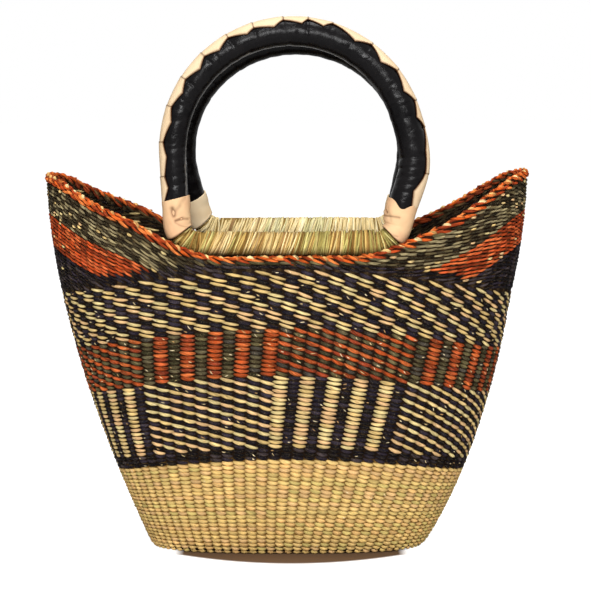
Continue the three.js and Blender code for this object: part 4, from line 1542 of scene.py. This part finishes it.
def swelling(seed, count, longest, height):
    """Soft swell made of a few seeded waves, at a distance and turn."""
    def swell(distance, turn):
        rng = np.random.default_rng(seed)
        rise = np.zeros(np.broadcast(distance, turn).shape)
        for _ in range(count):
            pace = 2 * math.pi / rng.uniform(0.35 * longest, longest)
            around = int(rng.integers(0, 4))
            rise = rise + np.sin(pace * distance + around * turn + rng.uniform(0, 6.28))
        return height * rise / math.sqrt(count)

    return swell


# Folds across the front grip in pixels of the photograph: from, to, depth and width in millimetres
GRIP_FOLDS = [
    ((395.8, 158.5), (424.0, 156.0), 1.3, 1.5), ((397.0, 168.5), (421.0, 166.5), 0.7, 1.5),
    ((397.5, 177.5), (419.0, 176.0), 0.7, 1.4), ((395.0, 186.0), (417.0, 184.0), 0.6, 1.4),
    ((172.0, 122.5), (184.0, 119.0), 0.6, 1.5), ((173.0, 108.0), (190.0, 103.0), 0.6, 1.6),
    ((187.0, 82.0), (200.0, 90.0), 0.6, 1.6), ((166.0, 187.0), (186.0, 183.0), 0.6, 1.5),
    ((167.0, 150.0), (184.0, 147.0), 0.5, 1.6), ((216.0, 55.0), (226.0, 68.0), 0.5, 1.6),
    ((393.0, 84.0), (379.0, 92.0), 0.6, 1.8), ((412.0, 116.0), (396.0, 122.0), 0.6, 1.8),
    ((350.0, 46.0), (342.0, 58.0), 0.5, 1.8), ((308.0, 26.0), (306.0, 40.0), 0.5, 1.8),
]

# Creases of the front cuffs in pixels of the photograph: from, to, depth and width in millimetres
CUFF_CREASES = {
    "left": [((175.5, 220.8), (182.0, 218.8), 1.3, 1.2), ((182.0, 218.8), (188.5, 219.2), 0.9, 1.2),
             ((175.0, 223.0), (195.0, 225.6), 0.5, 0.9), ((171.6, 208.8), (173.6, 215.5), 1.4, 2.2),
             ((173.5, 213.0), (180.0, 206.5), 0.6, 1.8), ((181.0, 203.0), (185.0, 198.5), 0.4, 2.2)],
    "right": [((380.6, 215.2), (399.4, 217.5), 1.0, 0.9), ((385.6, 210.5), (386.6, 212.5), 1.2, 1.2),
              ((384.0, 230.0), (398.0, 237.0), 0.5, 0.7), ((388.0, 207.0), (391.0, 221.0), 0.3, 1.4)],
}


def pressed(handle, lines, radius):
    """How far the leather is pressed in along lines, at a distance and turn."""
    ends = [(on_front_of(handle, line[:2], radius), line[2], line[3]) for line in lines]

    def sunk(distance, turn):
        total = np.zeros(np.broadcast(distance, turn).shape)
        around = ((turn + math.pi) % (2 * math.pi) - math.pi) * radius
        for pair, depth, width in ends:
            start, end = pair * [1, radius]
            line_x, line_y = end - start
            x, y = distance - start[0], around - start[1]
            held = np.clip((x * line_x + y * line_y) / (line_x ** 2 + line_y ** 2), 0, 1)
            away = np.hypot(x - held * line_x, y - held * line_y)
            total = total + depth * np.exp(-(away / width) ** 2)
        return total

    return sunk


def painted_highlight_line(handle, start, end):
    """Mark of the painted highlight line that runs along the front grip, for the points of its leather."""
    fold = on_front_of(handle, HIGHLIGHT_LINE_PIXELS, GRIP_RADIUS)
    fold = fold[np.argsort(fold[:, 0])]
    where = np.linspace(start, end, GRIP_STEPS)
    line = np.interp(where, fold[:, 0], fold[:, 1])
    turns = np.linspace(0, 2 * math.pi, GRIP_SIDES, endpoint=False)
    near = np.exp(-(angle_apart(turns[:, None], line[None, :]) / HIGHLIGHT_LINE_SPREAD) ** 2)
    near *= (where > fold[0, 0]) & (where < fold[-1, 0])
    return np.concatenate([near, np.zeros((GRIP_SIDES, GRIP_STEPS // 2))], axis=1)


def make_leather(handle, edge):
    """Black cover of the grip, with folds, creases and a soft swell."""
    rng = np.random.default_rng(handle["seed"])
    is_front = handle["name"] == "front"
    folds = pressed(handle, GRIP_FOLDS if is_front else [], GRIP_RADIUS)
    path = handle["path"]
    start = path["bar"] + along_corner(LEATHER_START_DEGREES)
    end = path["length"] - along_corner(LEATHER_START_DEGREES)
    marks = creases(rng, 150, start, end, depth=0.42)
    # The lace pulls the leather in at each notch between two teeth
    for distance, spread in edge[2:-2:2]:
        for side in (-1, 1):
            marks.append((distance, side * (spread + 0.35), 1.1, 0.5, 0.7))
    swell = swelling(int(rng.integers(1, 1000)), count=9, longest=34.0, height=0.16)

    def outer(distance, turn):
        full = GRIP_RADIUS + swell(distance, turn)
        return full - creased(distance, turn, marks) - folds(distance, turn)

    piece = sleeve(f"{handle['name']}_grip_leather_skin", handle, lambda turn: start, lambda turn: end,
                   CORE_RADIUS + 0.3, outer, GRIP_SIDES, GRIP_STEPS)
    # Painted highlight: a pale line along the front grip
    paler = painted_highlight_line(handle, start, end) if is_front else np.zeros(len(piece.data.vertices))
    mark_points(piece.data, "paler", paler)
    dress(piece, handle["body"], "black_leather", f"{handle['name']}_grip_leather", finish=black_leather)


LACE_STATIONS = 460
LACE_FACETS = 14
# How much a tooth rises where it overlaps the next, and over what length that fades
LACE_OVERLAP = 0.55
LACE_OVERLAP_LENGTH = 5.0


def make_lace(handle, edge):
    """Toothed lace along the outer ridge: its edge follows the teeth on both sides."""
    name = handle["name"]
    path = handle["path"]
    start = path["bar"] + cuff_top(handle) - 3.0
    end = path["length"] - cuff_top(handle) + 3.0
    stations = np.linspace(start, end, LACE_STATIONS)
    where = np.unique(np.concatenate([stations, np.clip(edge[:, 0], start, end)]))
    front = np.interp(where, edge[:, 0], edge[:, 1])
    shift = 0.5 * np.median(np.diff(edge[::2, 0]))
    back = np.interp(where + shift, edge[:, 0], edge[:, 1])
    since = where[:, None] - edge[None, 2:-2:2, 0]
    seam = np.exp(-(np.abs(since).min(axis=1) / 0.7) ** 2)
    since[since < 0] = np.inf
    overlap = LACE_OVERLAP * np.exp(-since.min(axis=1) / LACE_OVERLAP_LENGTH)
    share = np.linspace(-1, 1, LACE_FACETS + 1)
    rounded = 1 - 0.45 * np.abs(share) ** 8
    rows = []
    for i, distance in enumerate(where):
        turn = np.where(share < 0, share * front[i], share * back[i])
        outer = LACE_INNER_RADIUS + (LACE_OUTER_RADIUS - LACE_INNER_RADIUS - 0.5 + overlap[i]) * rounded
        rows.append(np.concatenate([
            ring_points(handle, distance, outer, turn),
            ring_points(handle, distance, LACE_INNER_RADIUS, turn[::-1]),
        ]))
    piece = skinned(f"{name}_ridge_lace_teeth", np.array(rows), u_span=len(where))
    # Dark on the cut edges and at the seams between the teeth, partly the leather's own edge and partly
    # painted shade
    rim = np.abs(np.concatenate([share, share[::-1]])) ** 14
    dark = np.maximum(rim[None, :], 0.8 * seam[:, None])
    mark_points(piece.data, "dark_edge_and_shade", np.concatenate([dark.ravel(), np.zeros(2)]))
    dress(piece, handle["body"], "tan_leather", f"{name}_ridge_lace", finish=lace_leather)


def make_cuff(handle, side):
    """Leather cuff on one foot of a ring, pressed in along its creases."""
    path = handle["path"]
    is_front = handle["name"] == "front"
    name = f"{handle['name']}_{side}"
    rng = np.random.default_rng(handle["seed"] + (2 if side == "right" else 3))
    sunk = pressed(handle, CUFF_CREASES[side] if is_front else [], CUFF_OUTER_RADIUS)
    swell = swelling(int(rng.integers(1, 1000)), count=6, longest=30.0, height=0.22)

    def from_bar(distance):
        return path["bar"] + distance if side == "right" else path["length"] - distance

    def start(turn):
        wave = 0.8 * math.sin(2 * turn + 1)
        return from_bar(along_corner(CUFF_START_DEGREES) + wave - CUFF_DROPS[name])

    def end(turn):
        lift = -1.0 * math.cos(turn)
        if name == "front_right":
            # Its top edge dips on the camera's side
            lift -= 7.0 * math.exp(-(angle_apart(turn, -math.pi / 2) / 0.5) ** 2)
        elif side == "left":
            lift += 2.5 - 1.5 * math.cos(turn)
        return from_bar(cuff_top(handle) + lift)

    def outer(distance, turn):
        return CUFF_OUTER_RADIUS + swell(distance, turn) - sunk(distance, turn)

    piece = sleeve(f"{name}_cuff_skin", handle, start, end, CUFF_INNER_RADIUS, outer, CUFF_SIDES, CUFF_STEPS)
    # The bottom cut edge is dark, partly as painted shade, and the creases get painted shade by their depth
    cut_edge_and_shade = np.exp(-(np.linspace(0, 1, CUFF_STEPS) / CUFF_DARK_EDGE) ** 2)
    dark = []
    for turn in np.linspace(0, 2 * math.pi, CUFF_SIDES, endpoint=False):
        there = np.linspace(start(turn), end(turn), CUFF_STEPS)
        shadowed = np.clip(sunk(there, turn) / CUFF_FULL_SHADOW_DEPTH, 0, CUFF_DEEPEST_SHADOW)
        dark += [np.maximum(cut_edge_and_shade, shadowed), np.zeros(CUFF_STEPS // 2)]
    mark_points(piece.data, "dark_edge_and_shade", np.concatenate(dark))
    # The back cuffs take the lighter copy of the tan leather, as painted light
    leather = tan_leather if is_front else tan_leather_painted_light
    dress(piece, handle["body"], "tan_leather", f"{name}_cuff", finish=leather)


CORE_STEPS = 240
CORE_SIDES = 72


def make_core(handle):
    """Ring of bundled grass, ridged along its stems."""
    where = np.linspace(0, handle["path"]["length"], CORE_STEPS, endpoint=False)[:, None]
    turn = np.linspace(0, 2 * math.pi, CORE_SIDES, endpoint=False)[None, :]
    radius = CORE_RADIUS - 0.5 + 0.35 * np.abs(np.sin(9 * turn + where * 0.02))
    piece = skinned(f"{handle['name']}_handle_core_grass", ring_points(handle, where, radius, turn),
                    ring_along=True, u_span=CORE_STEPS)
    dress(piece, handle["body"], "grass_core", f"{handle['name']}_handle_core", finish=grass_core)


# Stretches of one colour on each bar: where each ends, in millimetres across
ROLL_STRETCHES = {
    "front": [
        (-70.5, ROLL_GREEN), (-51.7, ROLL_TAN), (-38.5, ROLL_GREEN), (8.5, ROLL_TAN),
        (39.5, ROLL_GREEN), (52.6, ROLL_YELLOW), (999, ROLL_GREEN),
    ],
    "back": [
        (-22.6, ROLL_PALE), (-2.0, ROLL_PALE_GREEN), (16.0, ROLL_PALE), (42.0, ROLL_PALE_GREEN),
        (999, ROLL_PALE),
    ],
}


def loop_shape(name, segments, sides, straw_share):
    """One turn of straw, of unit radius, round the X axis."""
    points, faces, uvs = [], [], []
    for i in range(segments):
        a = 2 * math.pi * i / segments
        for j in range(sides):
            b = 2 * math.pi * j / sides
            reach = 1 + straw_share * math.cos(b)
            points.append((straw_share * math.sin(b), reach * math.cos(a), reach * math.sin(a)))
    for i in range(segments):
        for j in range(sides):
            k, n = (j + 1) % sides, (i + 1) % segments
            faces.append((i * sides + j, n * sides + j, n * sides + k, i * sides + k))
            u0, u1 = 4 * i / segments, 4 * (i + 1) / segments
            v0, v1 = j / sides, (j + 1) / sides
            uvs += [(u0, v0), (u1, v0), (u1, v1), (u0, v1)]
    shape = mesh_object(name, np.asarray(points) / MM, faces, uvs)
    first = shape.data.polygons[0]
    centre = Vector((0, 1, 0))
    if (Vector(points[0]) - centre).dot(first.normal) < 0:
        shape.data.flip_normals()
    return shape


STRAW_LOOP = loop_shape("straw loop", 26, 5, LASHING_STRAW_RADIUS / LASHING_RADIUS)


def turned(axes, tilt, swing):
    """Axes tilted about their second axis and swung about their third."""
    x, y, z = axes
    x, z = swung(x, z, tilt)
    x, y = swung(x, y, swing)
    return x, y, z


BROWN_DYE = np.array(dye("7a4a1c"))


def shaded(colour, rng, share):
    """Some straws browner than the others."""
    brown = rng.random(len(colour)) < share
    depth = (rng.uniform(0.35, 0.8, len(colour)) * brown)[:, None]
    return colour * (1 - depth) + BROWN_DYE * depth


# Lean in degrees of the turns of straw on a bar, at places in millimetres across
LEAN_PLACES = (-85, 10, 60, 90)
LEAN_DEGREES = (26, 18, 6, -12)
UNDER_LAYER_STEPS = 40
UNDER_LAYER_SIDES = 24


def lash_bar(handle):
    """Straw wound round a bar, and the hollow layer under it."""
    rng = np.random.default_rng(handle["seed"] + 4)
    path = handle["path"]
    count = int(path["bar"] / LASHING_PITCH)
    where = (np.arange(count) + 0.5) * path["bar"] / count
    x = np.interp(where, path["distance"], path["knots"][:, 0])
    at = np.column_stack([x, np.full(count, handle["offset"]), np.full(count, BAR_AXIS_HEIGHT)])
    at = at + rng.normal(0, 0.1, (count, 3))
    lean = np.radians(-np.interp(x, LEAN_PLACES, LEAN_DEGREES) + rng.normal(0, 3.0, count))
    axes = [np.tile(v, (count, 1)) for v in ((1.0, 0, 0), (0, 1.0, 0), (0, 0, 1.0))]
    colour = np.zeros((count, 3))
    for i, place in enumerate(x):
        palette = next(p for limit, p in ROLL_STRETCHES[handle["name"]] if place < limit)
        colour[i] = palette[rng.integers(0, len(palette))]
    colour = shaded(colour, rng, handle["shade"])
    across = (x - path["knots"][:2, 0].mean()) / (path["bar"] / 2)
    girth = (LASHING_RADIUS + handle["roll"] * across ** 2) * rng.uniform(0.99, 1.015, count)
    places = {
        "at": at,
        "turn": quaternions(*turned(axes, lean, np.radians(rng.normal(0, 2, count)))),
        "size": np.column_stack([np.full(count, LASHING_RADIUS), girth, girth]),
        "dye": colour,
    }
    name = f"{handle['name']}_bar_lashing"
    piece = set_strands(f"{name}_straw", STRAW_LOOP, yellow_green_straw, places, handle["seed"] + 5, 0.0)
    dress(piece, "basket", "yellow_green_straw", name)
    along = np.linspace(0.6, path["bar"] - 0.6, UNDER_LAYER_STEPS)
    rows = []
    for turn in np.linspace(0, 2 * math.pi, UNDER_LAYER_SIDES, endpoint=False):
        ring = []
        for stations, radius in ((along, LASHING_RADIUS - 0.55), (along[::-1], CORE_RADIUS + 0.8)):
            x = np.interp(stations, path["distance"], path["knots"][:, 0])
            y = handle["offset"] + radius * math.cos(turn)
            z = BAR_AXIS_HEIGHT + radius * math.sin(turn)
            ring.append(np.column_stack([x, np.full(len(x), y), np.full(len(x), z)]))
        rows.append(np.concatenate(ring))
    under = skinned(f"{name}_under_layer", np.array(rows), ring_along=True)
    dress(under, "basket", "grass_core", name, finish=grass_core)


def whip_corner(handle, side):
    """Straw wound round one bottom corner of a ring."""
    name = f"{handle['name']}_{side}"
    rng = np.random.default_rng(handle["seed"] + (6 if side == "right" else 7))
    path = handle["path"]
    degrees = FRONT_RIGHT_WHIPPING_DEGREES if name == "front_right" else WHIPPING_DEGREES
    reach = along_corner(degrees)
    count = int(reach / LASHING_PITCH)
    steps = 0.5 + (np.arange(count) + 0.5) * (reach - 0.5) / count
    where = path["bar"] + steps if side == "right" else path["length"] - steps
    at = ring_points(handle, where, 0.0, 0.0)
    ahead = unit(ring_points(handle, where + 0.2, 0.0, 0.0) - ring_points(handle, where - 0.2, 0.0, 0.0))
    out = unit(ring_points(handle, where, 1.0, 0.0) - at)
    girth = (CORE_RADIUS + handle["corner_straw"]) * rng.uniform(0.99, 1.03, count)
    tilt = np.radians(rng.normal(0, 3, count))
    swing = np.radians(rng.normal(0, 4, count))
    palette = ROLL_GREEN if handle["name"] == "front" else ROLL_PALE
    places = {
        "at": at,
        "turn": quaternions(*turned((ahead, np.cross(out, ahead), out), tilt, swing)),
        "size": np.column_stack([np.full(count, LASHING_RADIUS), girth, girth]),
        "dye": shaded(hues(palette, rng, count), rng, handle["shade"]),
    }
    piece = set_strands(f"{name}_corner_whipping_straw", STRAW_LOOP, yellow_green_straw, places,
                        handle["seed"] + 8, 0.0)
    dress(piece, handle["body"], "yellow_green_straw", f"{name}_corner_whipping")


def make_handles():
    front = HANDLES[0]
    seen = on_front_of(front, LACE_EDGE_PIXELS, LACE_INNER_RADIUS)
    order = np.argsort(seen[:, 0])
    front_edge = np.column_stack([seen[order, 0], np.abs(seen[order, 1])])
    share = HANDLES[1]["path"]["length"] / front["path"]["length"]
    back_edge = front_edge * [share, 1.0]
    for handle, edge in zip(HANDLES, (front_edge, back_edge)):
        make_core(handle)
        make_leather(handle, edge)
        make_lace(handle, edge)
        lash_bar(handle)
        for side in ("right", "left"):
            make_cuff(handle, side)
            whip_corner(handle, side)


make_handles()


# Camera, light and floor

CAMERA_LENS = 189.76
CAMERA_SENSOR_WIDTH = 36.0
CAMERA_REACH = 60.0
WORLD_STRENGTH = 0.11
# Each lamp's name, place and aim in metres, power in watts and width in metres
LAMPS = (
    ("front light", (-0.15, -2.8, 1.4), (0, 0, 0.25), 73, 0.8),
    ("right light", (0.9, -2.6, 1.5), (0, 0, 0.3), 17, 0.35),
    ("top light", (0.1, 0.0, 2.4), (0, 0, 0.2), 26, 0.9),
    ("sheen light", (-0.5, -1.7, 2.3), (0, 0, 0.4), 15, 0.26),
)
FLOOR_REACH = 6000
FLOOR_DROP = 0.4
# The painted shadow on the floor: its middle, half width, straight depth and rounded depth in metres
SHADOW_MIDDLE = 0.004
SHADOW_HALF_WIDTH = 0.108
SHADOW_STRAIGHT = 0.057
SHADOW_ROUND = 0.043
PAPER_GLOW = 0.9


def set_camera():
    data = bpy.data.cameras.new("camera")
    data.lens = CAMERA_LENS
    data.sensor_width = CAMERA_SENSOR_WIDTH
    data.clip_end = CAMERA_REACH
    camera = add_object("camera", data)
    camera.location = CAMERA_PLACE * MM
    camera.rotation_euler = (math.radians(90 - CAMERA_PITCH), 0, 0)
    bpy.context.scene.camera = camera


def add_lamp(name, place, aim, power, size):
    data = bpy.data.lights.new(name, "AREA")
    data.energy = power
    data.size = size
    lamp = add_object(name, data)
    lamp.location = place
    lamp.rotation_euler = (Vector(aim) - Vector(place)).to_track_quat("-Z", "Y").to_euler()


def set_world():
    """White where the camera, a mirror or glass sees the background, and dim as a light."""
    world = bpy.data.worlds.new("studio")
    world.use_nodes = True
    tree = world.node_tree
    background = tree.nodes["Background"].inputs
    background["Color"].default_value = (1, 1, 1, 1)
    path = tree.nodes.new("ShaderNodeLightPath").outputs
    either = calculate(tree, "MAXIMUM", path["Is Camera Ray"], path["Is Glossy Ray"])
    seen = calculate(tree, "MAXIMUM", either, path["Is Transmission Ray"])
    feed(tree, background["Strength"], ranged(tree, seen, 0.0, 1.0, WORLD_STRENGTH, 1.0))
    bpy.context.scene.world = world


def set_floor():
    """White paper with a painted warm shadow in a crescent close to the base."""
    corners = ((-1, -1, 0), (1, -1, 0), (1, 1, 0), (-1, 1, 0))
    floor = mesh_object("floor", np.array(corners) * FLOOR_REACH - [0, 0, FLOOR_DROP], [(0, 1, 2, 3)])
    material, tree = new_finish("floor paper")
    tree.nodes.remove(tree.nodes["Principled BSDF"])
    x, y, _ = axes_of(tree, object_place(tree))
    across = calculate(tree, "DIVIDE", calculate(tree, "SUBTRACT", x, SHADOW_MIDDLE), SHADOW_HALF_WIDTH)
    out = calculate(tree, "SUBTRACT", calculate(tree, "ABSOLUTE", y), SHADOW_STRAIGHT)
    deep = calculate(tree, "MAXIMUM", calculate(tree, "DIVIDE", out, SHADOW_ROUND), 0.0)
    reach = calculate(tree, "ADD", calculate(tree, "POWER", calculate(tree, "ABSOLUTE", across), 2.0), deep)
    clear = ranged(tree, reach, 0.9, 1.12, 0.0, 1.0)
    # Painted shadow: brown paper inside the crescent, which also gets no white glow
    colour = mixed(tree, clear, dye("6f5844"), dye("ebebeb"))
    paper = add_node(tree, "ShaderNodeBsdfDiffuse", {"Color": colour})
    camera_ray = tree.nodes.new("ShaderNodeLightPath").outputs["Is Camera Ray"]
    lit = calculate(tree, "MULTIPLY", calculate(tree, "MULTIPLY", clear, PAPER_GLOW), camera_ray)
    glow = add_node(tree, "ShaderNodeEmission", {"Strength": lit})
    both = add_node(tree, "ShaderNodeAddShader", {0: paper.outputs[0], 1: glow.outputs[0]})
    feed(tree, tree.nodes["Material Output"].inputs["Surface"], both.outputs[0])
    floor.data.materials.append(material)


set_camera()
set_world()
set_floor()
for lamp in LAMPS:
    add_lamp(*lamp)

for shape in (STRAND_OUTSIDE, STRAND_FULL, STRAND_INSIDE, STRAW_LOOP):
    bpy.data.objects.remove(shape)

bpy.context.scene.view_settings.view_transform = "Standard"
bpy.context.view_layer.update()
